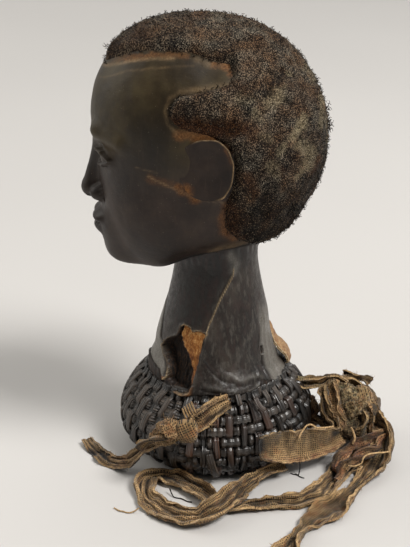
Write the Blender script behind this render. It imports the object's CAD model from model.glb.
"""The looks of a crest headdress: a skin-covered head with real hair, a flared neck, a plaited cane cap
and torn cloth ties.

Shapes are worked out in millimetres from the cap's axis on the ground, as in the part's source, and every
mesh is written in metres in the shared frame. The face looks along -Y, its left side is towards +X.
"""
import math

import bpy
import numpy as np
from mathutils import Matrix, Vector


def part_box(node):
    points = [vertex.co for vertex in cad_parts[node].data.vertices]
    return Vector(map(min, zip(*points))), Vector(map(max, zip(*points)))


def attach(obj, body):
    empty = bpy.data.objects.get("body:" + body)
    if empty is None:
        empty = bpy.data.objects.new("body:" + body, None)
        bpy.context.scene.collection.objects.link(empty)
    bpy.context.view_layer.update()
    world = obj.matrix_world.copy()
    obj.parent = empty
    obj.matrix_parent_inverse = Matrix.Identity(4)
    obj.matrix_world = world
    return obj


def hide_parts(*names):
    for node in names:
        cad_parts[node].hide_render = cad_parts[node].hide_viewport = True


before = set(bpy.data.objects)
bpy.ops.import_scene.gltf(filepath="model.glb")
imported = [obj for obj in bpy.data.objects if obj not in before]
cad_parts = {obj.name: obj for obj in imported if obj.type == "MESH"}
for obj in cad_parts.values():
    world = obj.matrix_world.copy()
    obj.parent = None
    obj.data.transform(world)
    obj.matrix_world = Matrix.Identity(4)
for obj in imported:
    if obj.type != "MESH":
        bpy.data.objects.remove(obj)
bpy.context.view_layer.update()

MM = 0.001
cap_low, cap_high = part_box("plaited_cap")
AXIS = np.array([(cap_low.x + cap_high.x) / 2, (cap_low.y + cap_high.y) / 2, 0.0])
BODY = "root"


# Numbers and vectors

def smooth(start, end, x):
    t = np.clip((x - start) / (end - start), 0, 1)
    return t * t * (3 - 2 * t)


def unit(v):
    return v / np.maximum(np.linalg.norm(v, axis=-1, keepdims=True), 1e-9)


def bell(x, width):
    """1 at nought, falling off to both sides over a width."""
    return np.exp(-((x / width) ** 2))


def signed_power(x, power):
    return np.sign(x) * np.abs(x) ** power


def round_axis(radius, angle, z):
    """Places at a radius from the cap's axis, an angle in radians and a height."""
    return np.stack(np.broadcast_arrays(radius * np.cos(angle), radius * np.sin(angle), z), -1)


def at_random(cell, seed):
    """A repeatable value from -1 to 1 for each whole-numbered place."""
    key = cell @ np.array([374761393, 668265263, 1442695041]) + seed * 974634777
    key = ((key & 0xFFFFFFFF) ^ ((key & 0xFFFFFFFF) >> 13)) * 1274126177 & 0xFFFFFFFF
    return ((key ^ (key >> 16)) & 0xFFFF) / 32767.5 - 1


def lumps(p, size, seed=0, octaves=1):
    """Smooth noise from -1 to 1, with lumps of a size."""
    total, strength = 0.0, 0.0
    for octave in range(octaves):
        q = np.asarray(p) / (size / 2**octave)
        cell = np.floor(q).astype(np.int64)
        part = q - cell
        part = part * part * (3 - 2 * part)
        value = 0.0
        for corner in np.ndindex(2, 2, 2):
            share = np.prod(np.where(corner, part, 1 - part), axis=-1)
            value = value + share * at_random(cell + corner, seed + octave)
        total = total + value / 2**octave
        strength += 1 / 2**octave
    return total / strength


def lumps_over(u, v, w, size, seed=0, octaves=1):
    """The same noise over three measures that are given one by one."""
    return lumps(np.stack(np.broadcast_arrays(u, v, w), -1), size, seed, octaves)


def length_along(path):
    return np.concatenate([[0], np.cumsum(np.linalg.norm(np.diff(path, axis=0), axis=1))])


def smooth_path(points, step):
    """Places a step apart on the smooth curve through the given points."""
    p = np.asarray(points, float)
    p = np.vstack([2 * p[0] - p[1], p, 2 * p[-1] - p[-2]])
    t = np.linspace(0, 1, 24, endpoint=False)[:, None]
    fine = []
    for a, b, c, d in zip(p[:-3], p[1:-2], p[2:-1], p[3:]):
        bend, twist = 2 * a - 5 * b + 4 * c - d, 3 * b - a - 3 * c + d
        fine.append(0.5 * (2 * b + (c - a) * t + bend * t**2 + twist * t**3))
    fine = np.vstack([*fine, p[-2:-1]])
    along = length_along(fine)
    count = max(4, int(round(along[-1] / step)))
    spots = np.linspace(0, along[-1], count + 1)
    return np.stack([np.interp(spots, along, fine[:, k]) for k in range(3)], -1)


def spread_along(values, count):
    """Values given at even places along something, eased out to a count of places."""
    x = np.linspace(0, len(values) - 1, count)
    low = np.clip(np.floor(x).astype(int), 0, len(values) - 2)
    share = smooth(0, 1, x - low)
    v = np.asarray(values, float)
    return v[low] * (1 - share) + v[low + 1] * share


# Meshes

def make_piece(name, points, faces, material, uv=None, marks=None, replaces=()):
    """A piece from places in millimetres from the cap's axis; faces is a list of arrays of corner numbers."""
    faces = [np.asarray(group, int) for group in (faces if isinstance(faces, list) else [faces])
             if len(group)]
    mesh = bpy.data.meshes.new(name)
    mesh.vertices.add(len(points))
    mesh.vertices.foreach_set("co", (AXIS + MM * np.asarray(points)).astype(np.float32).ravel())
    corners = np.concatenate([group.ravel() for group in faces])
    sizes = np.concatenate([np.full(len(group), group.shape[1]) for group in faces])
    mesh.loops.add(len(corners))
    mesh.loops.foreach_set("vertex_index", corners)
    mesh.polygons.add(len(sizes))
    mesh.polygons.foreach_set("loop_start", np.concatenate([[0], np.cumsum(sizes)[:-1]]))
    mesh.polygons.foreach_set("use_smooth", np.ones(len(sizes), bool))
    mesh.update(calc_edges=True)
    if uv is not None:
        layer = mesh.uv_layers.new(name="cloth")
        layer.data.foreach_set("uv", np.asarray(uv)[corners].astype(np.float32).ravel())
    for mark, values in (marks or {}).items():
        mesh.attributes.new(mark, "FLOAT", "POINT").data.foreach_set("value", np.asarray(values, np.float32))
    mesh.materials.append(material)
    piece = bpy.data.objects.new(name, mesh)
    bpy.context.scene.collection.objects.link(piece)
    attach(piece, BODY)
    if replaces:
        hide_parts(*replaces)
    return piece


def grid_faces(rows, columns, closed=False, start=0):
    """Four-cornered faces between rows of places; closed joins the last column to the first."""
    i, j = np.meshgrid(np.arange(rows - 1), np.arange(columns if closed else columns - 1), indexing="ij")
    k = (j + 1) % columns
    quads = np.stack([i * columns + j, i * columns + k, (i + 1) * columns + k, (i + 1) * columns + j], -1)
    return quads.reshape(-1, 4) + start


def sheet_faces(rows, columns):
    """Faces of a sheet's two sides, one grid of places after the other, and of the walls round its rim."""
    count, top = rows * columns, grid_faces(rows, columns)
    rim = np.concatenate([np.arange(columns), np.arange(1, rows) * columns + columns - 1,
                          count - 2 - np.arange(columns - 1), np.arange(rows - 2, 0, -1) * columns])
    after = np.roll(rim, -1)
    return np.vstack([top[:, ::-1], top + count, np.stack([rim, rim + count, after + count, after], -1)])


def ring_faces(rings, around):
    """Faces of a tube whose last ring joins its first."""
    k = np.arange(around)
    after, back = np.roll(k, -1), (rings - 1) * around
    return np.vstack([grid_faces(rings, around, closed=True),
                      np.stack([k + back, after + back, after, k], -1)])


def rod_faces(rings, around):
    """Faces of a tube with an even number of sides, closed by four-cornered faces at its two ends."""
    k = np.arange(around // 2 - 1)
    end = np.stack([k, k + 1, around - 2 - k, around - 1 - k], -1)
    return np.vstack([grid_faces(rings, around, closed=True), end[:, ::-1], end + (rings - 1) * around])


def gather(parts):
    """Joins (points, faces, marks) of several shapes into one."""
    offset, points, faces, marks = 0, [], [], {}
    for part_points, part_faces, part_marks in parts:
        points.append(part_points)
        faces.append(part_faces + offset)
        offset += len(part_points)
        for mark, values in part_marks.items():
            marks.setdefault(mark, []).append(np.broadcast_to(values, len(part_points)))
    return np.vstack(points), np.vstack(faces), {mark: np.concatenate(v) for mark, v in marks.items()}


def striped_piece(name, parts, material, replaces=()):
    """A piece of joined parts whose marks across and lengthwise say how threads or fibres run in it."""
    points, faces, marks = gather(parts)
    uv = np.stack([marks.pop("across"), marks.pop("lengthwise")], -1)
    return make_piece(name, points, faces, material, uv, marks, replaces)


def tubes(paths, radii, sides=3):
    """Thin round strands along many paths at once; paths is (strands, stations, 3)."""
    count, stations, _ = paths.shape
    along = unit(np.gradient(paths, axis=1))
    other = np.where(np.abs(along[:, :1, 2:]) < 0.8, [0.0, 0.0, 1.0], [1.0, 0.0, 0.0])
    side = unit(np.cross(along, other))
    up = np.cross(side, along)
    turn = 2 * np.pi * np.arange(sides) / sides
    around = np.cos(turn)[:, None] * side[:, :, None] + np.sin(turn)[:, None] * up[:, :, None]
    rings = paths[:, :, None] + np.asarray(radii)[..., None, None] * around
    start = np.arange(count)[:, None, None] * stations * sides
    walls = (grid_faces(stations, sides, closed=True)[None] + start).reshape(-1, 4)
    first = np.arange(sides)[None, ::-1] + start[:, 0]
    last = np.arange(sides)[None] + (stations - 1) * sides + start[:, 0]
    return rings.reshape(-1, 3), walls, np.vstack([first, last])


# Materials

def shade(red, green, blue):
    """A colour given in the usual 0 to 255 steps, as light."""
    steps = (np.array([red, green, blue]) / 255) ** 2.2
    return (*[float(s) for s in steps], 1.0)


def grey(value):
    return (value, value, value, 1)


class Paint:
    """A material's nodes. Numbers and colours go straight on a node's sockets, and sockets are linked."""

    def __init__(self, name, **constants):
        self.material = bpy.data.materials.new(name)
        self.material.use_nodes = True
        self.tree = self.material.node_tree
        self.shader = self.tree.nodes["Principled BSDF"]
        for socket, value in constants.items():
            self.shader.inputs[socket.replace("_", " ")].default_value = value
        self.place = self.node("ShaderNodeTexCoord").outputs["Object"]

    def node(self, kind, inputs=(), **settings):
        node = self.tree.nodes.new(kind)
        for key, value in settings.items():
            setattr(node, key, value)
        for key, value in dict(inputs).items():
            if isinstance(value, bpy.types.NodeSocket):
                self.tree.links.new(value, node.inputs[key])
            else:
                node.inputs[key].default_value = value
        return node

    def mark(self, name):
        return self.node("ShaderNodeAttribute", attribute_name=name).outputs["Fac"]

    def cloth_place(self):
        return self.node("ShaderNodeUVMap", uv_map="cloth").outputs["UV"]

    def stretched(self, vector, scale):
        return self.node("ShaderNodeMapping", {"Vector": vector, "Scale": scale}).outputs["Vector"]

    def noise(self, size, vector=None, detail=3.0, rough=0.5):
        """Noise with lumps of a size in millimetres, or in the vector's own unit."""
        scale = 1 / (size * MM) if vector is None else 1 / size
        inputs = {"Vector": vector or self.place, "Scale": scale, "Detail": detail, "Roughness": rough}
        return self.node("ShaderNodeTexNoise", inputs).outputs["Fac"]

    def drawn_noise(self, size, stretch, detail, rough):
        """Noise in millimetres with its heights multiplied by a stretch, so that it runs up or round."""
        return self.noise(size, self.stretched(self.place, (1000, 1000, 1000 * stretch)), detail, rough)

    def cells(self, size):
        inputs = {"Vector": self.place, "Scale": 1 / (size * MM)}
        return self.node("ShaderNodeTexVoronoi", inputs).outputs["Distance"]

    def ramp(self, value, *stops):
        """Numbers, or colours in steps of red, green and blue, each after its place from 0 to 1."""
        node = self.node("ShaderNodeValToRGB", {"Fac": value})
        elements = node.color_ramp.elements
        while len(elements) < len(stops):
            elements.new(0.5)
        for element, (position, *colour) in zip(elements, stops):
            element.position = position
            element.color = shade(*colour) if len(colour) == 3 else grey(*colour)
        return node.outputs["Color"]

    def mix(self, share, one, other):
        node = self.node("ShaderNodeMix", data_type="RGBA")
        for key, value in (("Factor_Float", share), ("A_Color", one), ("B_Color", other)):
            socket = next(s for s in node.inputs if s.identifier == key)
            if isinstance(value, bpy.types.NodeSocket):
                self.tree.links.new(value, socket)
            else:
                socket.default_value = value
        return next(s for s in node.outputs if s.identifier == "Result_Color")

    def coats(self, base, *layers):
        """Colours laid over a base one after the other, each as (share, colour)."""
        for share, colour in layers:
            base = self.mix(share, base, colour)
        return base

    def sum(self, operation, one, other=0.5):
        return self.node("ShaderNodeMath", {0: one, 1: other}, operation=operation).outputs["Value"]

    def bump(self, height, strength, distance, under=None):
        inputs = {"Height": height, "Strength": strength, "Distance": distance * MM}
        if under is not None:
            inputs["Normal"] = under
        return self.node("ShaderNodeBump", inputs).outputs["Normal"]

    def wear(self, **sockets):
        for name, value in sockets.items():
            self.tree.links.new(value, self.shader.inputs[name.replace("_", " ")])
        return self.material


def cloth_paint(name):
    """Coarse old cloth: light threads over dark gaps, which are wider where the open mark is high."""
    paint = Paint(name, Sheen_Weight=0.15, Sheen_Roughness=0.6, Specular_IOR_Level=0.2)
    flat = paint.cloth_place()
    sides = paint.node("ShaderNodeSeparateXYZ", {"Vector": flat}).outputs
    wander = paint.sum("MULTIPLY", paint.noise(7, flat, 2), 2.0)
    turns = [paint.sum("MULTIPLY", paint.sum("ADD", sides[way], wander), math.pi / WEAVE)
             for way in ("X", "Y")]
    cover = paint.sum("MAXIMUM", *[paint.sum("ABSOLUTE", paint.sum("SINE", turn)) for turn in turns])
    gap = paint.ramp(paint.sum("ADD", paint.sum("SUBTRACT", cover, paint.mark("open")), 0.5), (0.42, 1.0),
                     (0.58, 0.0))
    streaks = paint.noise(1, paint.stretched(flat, (0.85, 0.14, 1)), 3, 0.65)
    fibre = paint.noise(0.9, detail=4, rough=0.7)
    broad = paint.ramp(paint.noise(12, detail=4, rough=0.6), (0.38, 0.0), (0.6, 1.0))
    colour = paint.coats(
        paint.mix(broad, shade(160, 128, 88), shade(110, 86, 58)),
        (paint.ramp(paint.noise(5, detail=3), (0.5, 0.0), (0.68, 0.6)), shade(104, 98, 72)),
        (paint.ramp(paint.noise(7, detail=3), (0.54, 0.0), (0.68, 0.6)), shade(156, 100, 60)),
        (paint.ramp(streaks, (0.34, 0.45), (0.48, 0.0)), shade(50, 37, 25)),
        (paint.ramp(streaks, (0.54, 0.0), (0.66, 0.5)), shade(214, 180, 130)),
        (paint.ramp(fibre, (0.36, 0.4), (0.5, 0.0)), shade(44, 32, 22)),
        (paint.mark("red"), paint.ramp(fibre, (0.36, 58, 30, 22), (0.5, 128, 74, 52), (0.64, 206, 154, 118))),
        (paint.mark("moss"), paint.ramp(paint.noise(1.8, detail=5, rough=0.7),
                                        (0.38, 16, 16, 12), (0.5, 66, 66, 48), (0.64, 156, 154, 122))),
        (paint.mark("edge"), paint.ramp(fibre, (0.36, 140, 104, 64), (0.62, 228, 194, 144))),
        (gap, shade(36, 27, 18)),
        (paint.mark("dirt"), shade(15, 11, 8)))
    normal = paint.bump(cover, 0.6, 0.4, paint.bump(fibre, 0.5, 0.6))
    return paint.wear(Base_Color=colour, Normal=normal, Roughness=paint.ramp(fibre, (0.3, 0.85), (0.7, 1.0)))


# The view and the light, as in a plain pale studio

CAMERA_PLACE = np.array([800, -8.58, 471.6])
CAMERA_LENS = 76.63
LOOKING_DOWN = 22.553
FLOOR_REACH = 9.0
LIGHTS_FACE = np.array([0, 0, 0.15])


def add_view():
    camera = bpy.data.objects.new("view", bpy.data.cameras.new("view"))
    camera.data.sensor_width = 36
    camera.data.lens = CAMERA_LENS
    camera.location = AXIS + MM * CAMERA_PLACE
    camera.rotation_euler = (math.radians(90 - LOOKING_DOWN), 0, math.radians(90))
    bpy.context.scene.collection.objects.link(camera)
    bpy.context.scene.camera = camera


def add_light(name, toward, distance, size, power, colour=(1, 1, 1)):
    """A square soft light at a distance along a direction, turned to the object."""
    lamp = bpy.data.lights.new(name, "AREA")
    lamp.size, lamp.energy, lamp.color = size, power, colour
    light = bpy.data.objects.new(name, lamp)
    direction = unit(np.array(toward, float))
    light.location = LIGHTS_FACE + distance * direction
    flat = math.hypot(direction[0], direction[1])
    light.rotation_euler = (math.atan2(flat, direction[2]), 0,
                            math.atan2(direction[1], direction[0]) + math.pi / 2)
    bpy.context.scene.collection.objects.link(light)


def add_floor():
    paint = Paint("pale_floor", Roughness=0.75, Specular_IOR_Level=0.15)
    tone = paint.ramp(paint.noise(900, detail=2), (0.3, 207, 205, 203), (0.7, 212, 210, 208))
    mesh = bpy.data.meshes.new("floor")
    corners = [(x * FLOOR_REACH, y * FLOOR_REACH, 0) for x, y in ((-1, -1), (1, -1), (1, 1), (-1, 1))]
    mesh.from_pydata(corners, [], [(0, 1, 2, 3)])
    mesh.materials.append(paint.wear(Base_Color=tone))
    floor = bpy.data.objects.new("floor", mesh)
    bpy.context.scene.collection.objects.link(floor)


def add_world():
    """A pale room that is dimmer in front of the object, where the viewer stands."""
    world = bpy.data.worlds.new("studio")
    world.use_nodes = True
    nodes, links = world.node_tree.nodes, world.node_tree.links
    parts = nodes.new("ShaderNodeSeparateXYZ")
    links.new(nodes.new("ShaderNodeTexCoord").outputs["Generated"], parts.inputs["Vector"])
    strength = nodes.new("ShaderNodeMapRange")
    for key, value in (("From Min", -0.3), ("From Max", 0.75), ("To Min", 0.5), ("To Max", 0.1)):
        strength.inputs[key].default_value = value
    links.new(parts.outputs["X"], strength.inputs["Value"])
    background = nodes["Background"]
    background.inputs["Color"].default_value = (1.0, 0.975, 0.93, 1)
    links.new(strength.outputs["Result"], background.inputs["Strength"])
    bpy.context.scene.world = world
    bpy.context.scene.view_settings.view_transform = "Standard"


add_view()
add_floor()
add_world()
add_light("key", (0.36, 0.52, 0.8), 3.6, 1.2, 122, (1.0, 0.975, 0.94))
add_light("fill", (-0.3, -1.0, 0.6), 4.0, 2.6, 44, (1.0, 0.96, 0.88))
add_light("overhead", (-0.5, 0.0, 1.0), 4.0, 3.0, 24, (1.0, 0.99, 0.97))


# Torn cloth: strips of coarse weave, folded lengthwise and pleated. Millimetres between threads of the
# paint, between the mesh's rows, and from one pleat to the next

WEAVE = 1.6
STEP = 1.2
PLEAT = 8.0
# The cap's outer side from its foot up, as (radius, height)
CAP_PROFILE = np.array([[52.5, 0.5], [61, 6], [69, 15], [72, 25], [70.5, 38], [63.5, 51], [56.2, 60],
                        [53.6, 67]], float)


def cap_radius(z):
    fine = smooth_path(np.column_stack([CAP_PROFILE, np.zeros(len(CAP_PROFILE))]), 1.0)
    return np.interp(z, fine[:, 1], fine[:, 0])


def off_the_cap(points, play=2.4):
    """Moves what lies in the cap's side out of it, and what lies under the floor up to it."""
    p = np.array(points, float)
    r = np.hypot(p[:, 0], p[:, 1])
    least = cap_radius(np.clip(p[:, 2], 0, 60)) + play - 2.5 * smooth(56, 61, p[:, 2])
    inside = (p[:, 2] < 61) & (r < least) & (r > 30)
    p[inside, :2] *= (least / np.maximum(r, 1e-6))[inside, None]
    p[:, 2] = np.maximum(p[:, 2], 0.45 + 0.15 * at_random(np.round(p * 4).astype(np.int64), 3))
    return p


def strip_frame(path, rolls):
    """Along, across and upright directions of a strip; a roll in degrees tips its face to the right."""
    along = unit(np.gradient(path, axis=0))
    right = unit(np.cross(along, [0, 0, 1.0]))
    up = np.cross(right, along)
    turn = np.radians(spread_along(rolls, len(path)))[:, None]
    return along, right * np.cos(turn) - up * np.sin(turn), up * np.cos(turn) + right * np.sin(turn)


def strip(route, widths, rolls, left, right, pleats=0.0, crumple=0.8, ripple=0.25, seed=1, marks=(),
          reach=20.0, worn_edge=0.6, opened=0.68):
    """A woven strip along a route: flat widths, rolls, how far its left and right edges fold over in radians,
    and how deeply it is pleated lengthwise. A mark is a number to add, or a function of the share of the
    strip's length, the place across it from -1 to 1, and the points."""
    path = smooth_path(route, STEP)
    rows = len(path)
    flat = spread_along(widths, rows)
    columns = int(round(max(widths) / STEP)) + 1
    u = np.linspace(-1, 1, columns)
    _, across, upright = strip_frame(path, rolls)
    fold_left, fold_right = spread_along(left, rows)[:, None], spread_along(right, rows)[:, None]
    steps = np.arange(rows)[:, None] * STEP
    sway = lumps_over(steps / 11, u * 2.2, seed * 7.0, 1.0, seed, 2)
    drift = 3.0 * lumps_over(steps / 22, u * 0.7, seed * 5.0, 1.0, seed + 2)
    depth = pleats * (0.8 + 0.6 * lumps_over(steps / 12, u * 1.6, seed * 3.0, 1.0, seed + 3))
    angle = fold_right * smooth(0.15, 0.62, u) - fold_left * smooth(0.15, 0.62, -u) + ripple * np.pi * sway
    angle = angle + depth * np.sin(np.pi * u * max(widths) / PLEAT + drift)
    thread_gap = flat[:, None] / (columns - 1)
    sideways, height = (np.cumsum(thread_gap * turned, axis=1) for turned in (np.cos(angle), np.sin(angle)))
    sideways -= 0.5 * (sideways.max(1) + sideways.min(1))[:, None]
    height -= 0.5 * (height.max(1) + height.min(1))[:, None]
    widest = np.hypot(sideways, height).max(1)
    fit = np.minimum(1, reach / np.convolve(np.pad(widest, 4, "edge"), np.ones(9) / 9, "valid"))[:, None]
    sideways, height = sideways * fit, height * fit
    fray = lumps_over(steps, u * 0, seed * 3.1, 2.2, seed + 5, 2)
    sideways += 0.8 * fray * smooth(0.8, 1, np.abs(u)) * np.sign(u)
    sheet = path[:, None] + sideways[..., None] * across[:, None] + height[..., None] * upright[:, None]
    sheet += crumple * lumps(sheet, 15, seed + 9, 2)[..., None] * upright[:, None]
    sheet += 0.45 * crumple * lumps(sheet, 5, seed + 13, 2)[..., None] * upright[:, None]
    normal = unit(np.cross(np.gradient(sheet, axis=1), np.gradient(sheet, axis=0)))
    i, j = np.meshgrid(np.arange(rows), np.arange(columns), indexing="ij")
    hemmed = smooth(0.86, 0.95, np.abs(u)) * np.ones((rows, 1))
    uneven = at_random(np.stack([i, j, i * 0 + seed], -1), 17)
    relief = 0.16 * np.where(j % 2, 1, -1) * (1 - hemmed) + 0.1 * uneven + 0.3 * hemmed
    points = np.vstack([(sheet + normal * (side * (0.6 + relief))[..., None]).reshape(-1, 3)
                        for side in (1, -1)])
    near = np.stack([np.pad(height, ((0, 0), (3, 3)), "edge")[:, k:k + columns] for k in range(7)]).mean(0)
    ridge, valley = smooth(0.1, 0.7, height - near), smooth(-0.1, -0.7, height - near)
    patchy = 0.5 + 0.5 * lumps_over(steps, u * 6, seed * 9.0, 9.0, seed + 19, 2)
    worn_hem = worn_edge * hemmed * np.clip(0.25 + patchy + 0.4 * fray, 0, 1)
    lowest = height.min(1)[:, None]
    rise = height.max(1)[:, None] - lowest
    hollow = 0.6 * smooth(0.4, 0.0, (height - lowest) / (rise + 0.5)) * smooth(1.5, 5.0, rise)

    def both_sides(values):
        return np.tile(np.broadcast_to(values, (rows, columns)).ravel(), 2)

    share, over = both_sides(steps / steps[-1]), both_sides(u)
    given = {"open": opened - 0.35 * both_sides(hemmed), "red": 0.0, "moss": 0.0,
             "edge": both_sides(np.maximum(worn_hem, 0.8 * ridge * smooth(0.15, 0.7, patchy))),
             "dirt": both_sides(np.maximum(hollow, 0.7 * valley))}
    for mark, values in dict(marks).items():
        value = values(share, over, points) if callable(values) else values
        given[mark] = np.clip(given[mark] + value, 0, 1)
    given["across"] = both_sides(60 + 0.5 * u * flat[:, None])
    given["lengthwise"] = both_sides(steps)
    return off_the_cap(points), sheet_faces(rows, columns), given


def jumbled(part, seed, far=2.4, fine=1.4):
    """A part pushed about in all directions, so that no fold in it stays even."""
    points, faces, marks = part
    push = [far * lumps(points, 11, seed + k) + fine * lumps(points, 4.2, seed + 5 + k, 2) for k in range(3)]
    return off_the_cap(points + np.stack(push, -1)), faces, marks


def threads(paths, radii, dirt=0.0, red=0.0, edge=0.7):
    """Loose threads along paths, which is (threads, stations, 3)."""
    points, walls, ends = tubes(paths, radii, 4)
    marks = {"open": 0.0, "edge": edge, "red": red, "moss": 0.0, "dirt": dirt,
             "across": points[:, 1], "lengthwise": points[:, 2]}
    return points, np.vstack([walls, ends]), marks


def long_thread(places, radius, wander=0.3, seed=1, **marks):
    path = smooth_path(places, 1.2)
    path += wander * np.stack([lumps(path, 3.5, seed + k, 2) for k in range(3)], -1)
    path[:, 2] = np.maximum(path[:, 2], radius)
    return threads(path[None], np.full((1, len(path)), radius), **marks)


def fuzz(part, count, length, seed, where=None):
    """Short frayed fibres on a part, more of them where a weight is high."""
    rng = np.random.default_rng(seed)
    points = part[0]
    weight = np.ones(len(points)) if where is None else np.broadcast_to(part[2][where], len(points)) + 0.05
    root = points[rng.choice(len(points), count, p=weight / weight.sum())]
    way = unit(rng.normal(size=(count, 3)) + unit(root - points.mean(0)))
    bend = 0.6 * rng.normal(size=(count, 3))
    t = np.linspace(0, 1, 3)[:, None]
    lengths = length * rng.uniform(0.4, 1.3, (count, 1, 1))
    paths = root[:, None] + lengths * (t * way[:, None] + t * t * bend[:, None])
    paths[..., 2] = np.maximum(paths[..., 2], 0.25)
    return threads(paths, np.array([0.17, 0.14, 0.07]) * np.ones((count, 1)), edge=0.3)


# The ties' routes, as in the part's source but in metres
STRAP_ROUTE = [
    (0.060, 0.009, 0.065), (0.063, 0.003, 0.0635), (0.067, -0.004, 0.061), (0.071, -0.011, 0.057),
    (0.073, -0.017, 0.0525), (0.0735, -0.023, 0.048),
]
TAIL_ROUTE = [
    (0.010, -0.101, 0.0032), (0.018, -0.097, 0.0032), (0.027, -0.092, 0.0032), (0.036, -0.086, 0.0032),
    (0.043, -0.079, 0.0036), (0.048, -0.072, 0.006), (0.054, -0.065, 0.011), (0.060, -0.058, 0.020),
    (0.066, -0.050, 0.030), (0.071, -0.042, 0.0375), (0.0735, -0.033, 0.042),
]
LOOP_ROUTE = [
    (0.059, 0.051, 0.010), (0.064, 0.042, 0.0105), (0.070, 0.034, 0.0105), (0.075, 0.028, 0.0095),
    (0.081, 0.023, 0.009), (0.088, 0.0185, 0.009), (0.097, 0.012, 0.010), (0.106, 0.005, 0.0102),
    (0.114, -0.002, 0.0098), (0.119, -0.010, 0.008), (0.1195, -0.018, 0.0056), (0.116, -0.026, 0.0038),
    (0.110, -0.035, 0.0032), (0.103, -0.044, 0.0032), (0.094, -0.051, 0.0032), (0.082, -0.055, 0.0032),
    (0.071, -0.0545, 0.0032), (0.063, -0.050, 0.0032), (0.061, -0.0425, 0.0032), (0.064, -0.0345, 0.0032),
    (0.0695, -0.026, 0.0032), (0.076, -0.019, 0.0032), (0.084, -0.0115, 0.0032), (0.092, -0.006, 0.0032),
    (0.099, 0.0005, 0.0032), (0.103, 0.010, 0.0032), (0.1015, 0.020, 0.0032), (0.099, 0.030, 0.0032),
    (0.0975, 0.040, 0.0032), (0.097, 0.050, 0.0032), (0.095, 0.060, 0.0032), (0.089, 0.069, 0.0032),
    (0.081, 0.077, 0.0032), (0.072, 0.083, 0.0032), (0.062, 0.089, 0.0036), (0.051, 0.095, 0.0042),
    (0.041, 0.1005, 0.0055), (0.031, 0.105, 0.008), (0.022, 0.108, 0.011),
]
BAND_ROUTE = [
    (0.075, 0.031, 0.034), (0.068, 0.042, 0.031), (0.060, 0.054, 0.0265), (0.052, 0.067, 0.0235),
    (0.0455, 0.079, 0.022), (0.040, 0.088, 0.0215), (0.035, 0.095, 0.022),
]
RAG_TAIL_ROUTE = [
    (0.014, 0.122, 0.025), (0.026, 0.127, 0.021), (0.036, 0.126, 0.015), (0.045, 0.122, 0.0095),
    (0.054, 0.117, 0.006), (0.064, 0.1105, 0.0042), (0.074, 0.103, 0.0034), (0.084, 0.0965, 0.0034),
    (0.094, 0.089, 0.0034), (0.103, 0.0815, 0.0034), (0.111, 0.074, 0.0034), (0.119, 0.0665, 0.0034),
    (0.128, 0.060, 0.0034), (0.137, 0.054, 0.0034), (0.147, 0.0485, 0.0034), (0.158, 0.043, 0.0034),
    (0.168, 0.0385, 0.0034),
]


def in_mm(route):
    return np.array(route) / MM


def declare(route):
    """Says that a piece is a free tie along a route, which is in metres from the cap's axis."""
    path = AXIS + smooth_path(in_mm(route), 2.0) * MM
    length = float(np.linalg.norm(np.diff(path, axis=0), axis=1).sum())


def crumpled(centre, radii, detail, folds, seed, power=2.0, turn=0.0, weave_turn=0.3, **stains):
    """A crumpled lump of woven cloth as points and faces, with marks of its creases."""
    net, faces = sphere_net(detail)
    c, s = math.cos(turn), math.sin(turn)
    net = net @ np.array([[1, 0, 0], [0, c, -s], [0, s, c]])
    shape = net / np.sum(np.abs(net) ** power, -1, keepdims=True) ** (1 / power)
    sharp = 1 - np.abs(lumps(shape * 3.0 + seed, 1.5, seed, 3)) * 2.2
    soft = lumps(shape * 2.0 - seed, 1.2, seed + 4, 3)
    points = np.array(centre) + shape * np.array(radii) * (1 + folds * (0.6 * sharp + 0.6 * soft))[:, None]
    creased = folds > 0.08
    c, s = math.cos(weave_turn), math.sin(weave_turn)
    marks = {"open": 0.62, "edge": smooth(0.7, 0.98, sharp) * 0.5 * creased, "red": 0.0, "moss": 0.0,
             "dirt": smooth(0.25, -0.5, sharp) * 0.9 * creased,
             "across": points[:, 1] * c + points[:, 2] * s, "lengthwise": points[:, 2] * c - points[:, 1] * s}
    for mark, value in stains.items():
        marks[mark] = np.clip(marks[mark] + value * (0.75 + 0.5 * lumps(points, 7, seed + 30, 2)), 0, 1)
    return off_the_cap(points), faces, marks


def sphere_net(detail):
    """Directions on a cube's faces, blown up to a ball, without doubles."""
    t = np.tan(np.linspace(-1, 1, detail + 1) * np.pi / 4)
    a, b = np.meshgrid(t, t, indexing="ij")
    one = np.ones_like(a)
    sides = [(one, a, b), (-one, b, a), (b, one, a), (a, -one, b), (a, b, one), (b, a, -one)]
    points = np.vstack([np.stack(side, -1).reshape(-1, 3) for side in sides])
    faces = np.vstack([grid_faces(detail + 1, detail + 1, start=k * (detail + 1) ** 2) for k in range(6)])
    _, first, where = np.unique(np.round(points * 1e5).astype(np.int64), axis=0, return_index=True,
                                return_inverse=True)
    return unit(points[first]), np.ravel(where)[faces]


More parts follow.
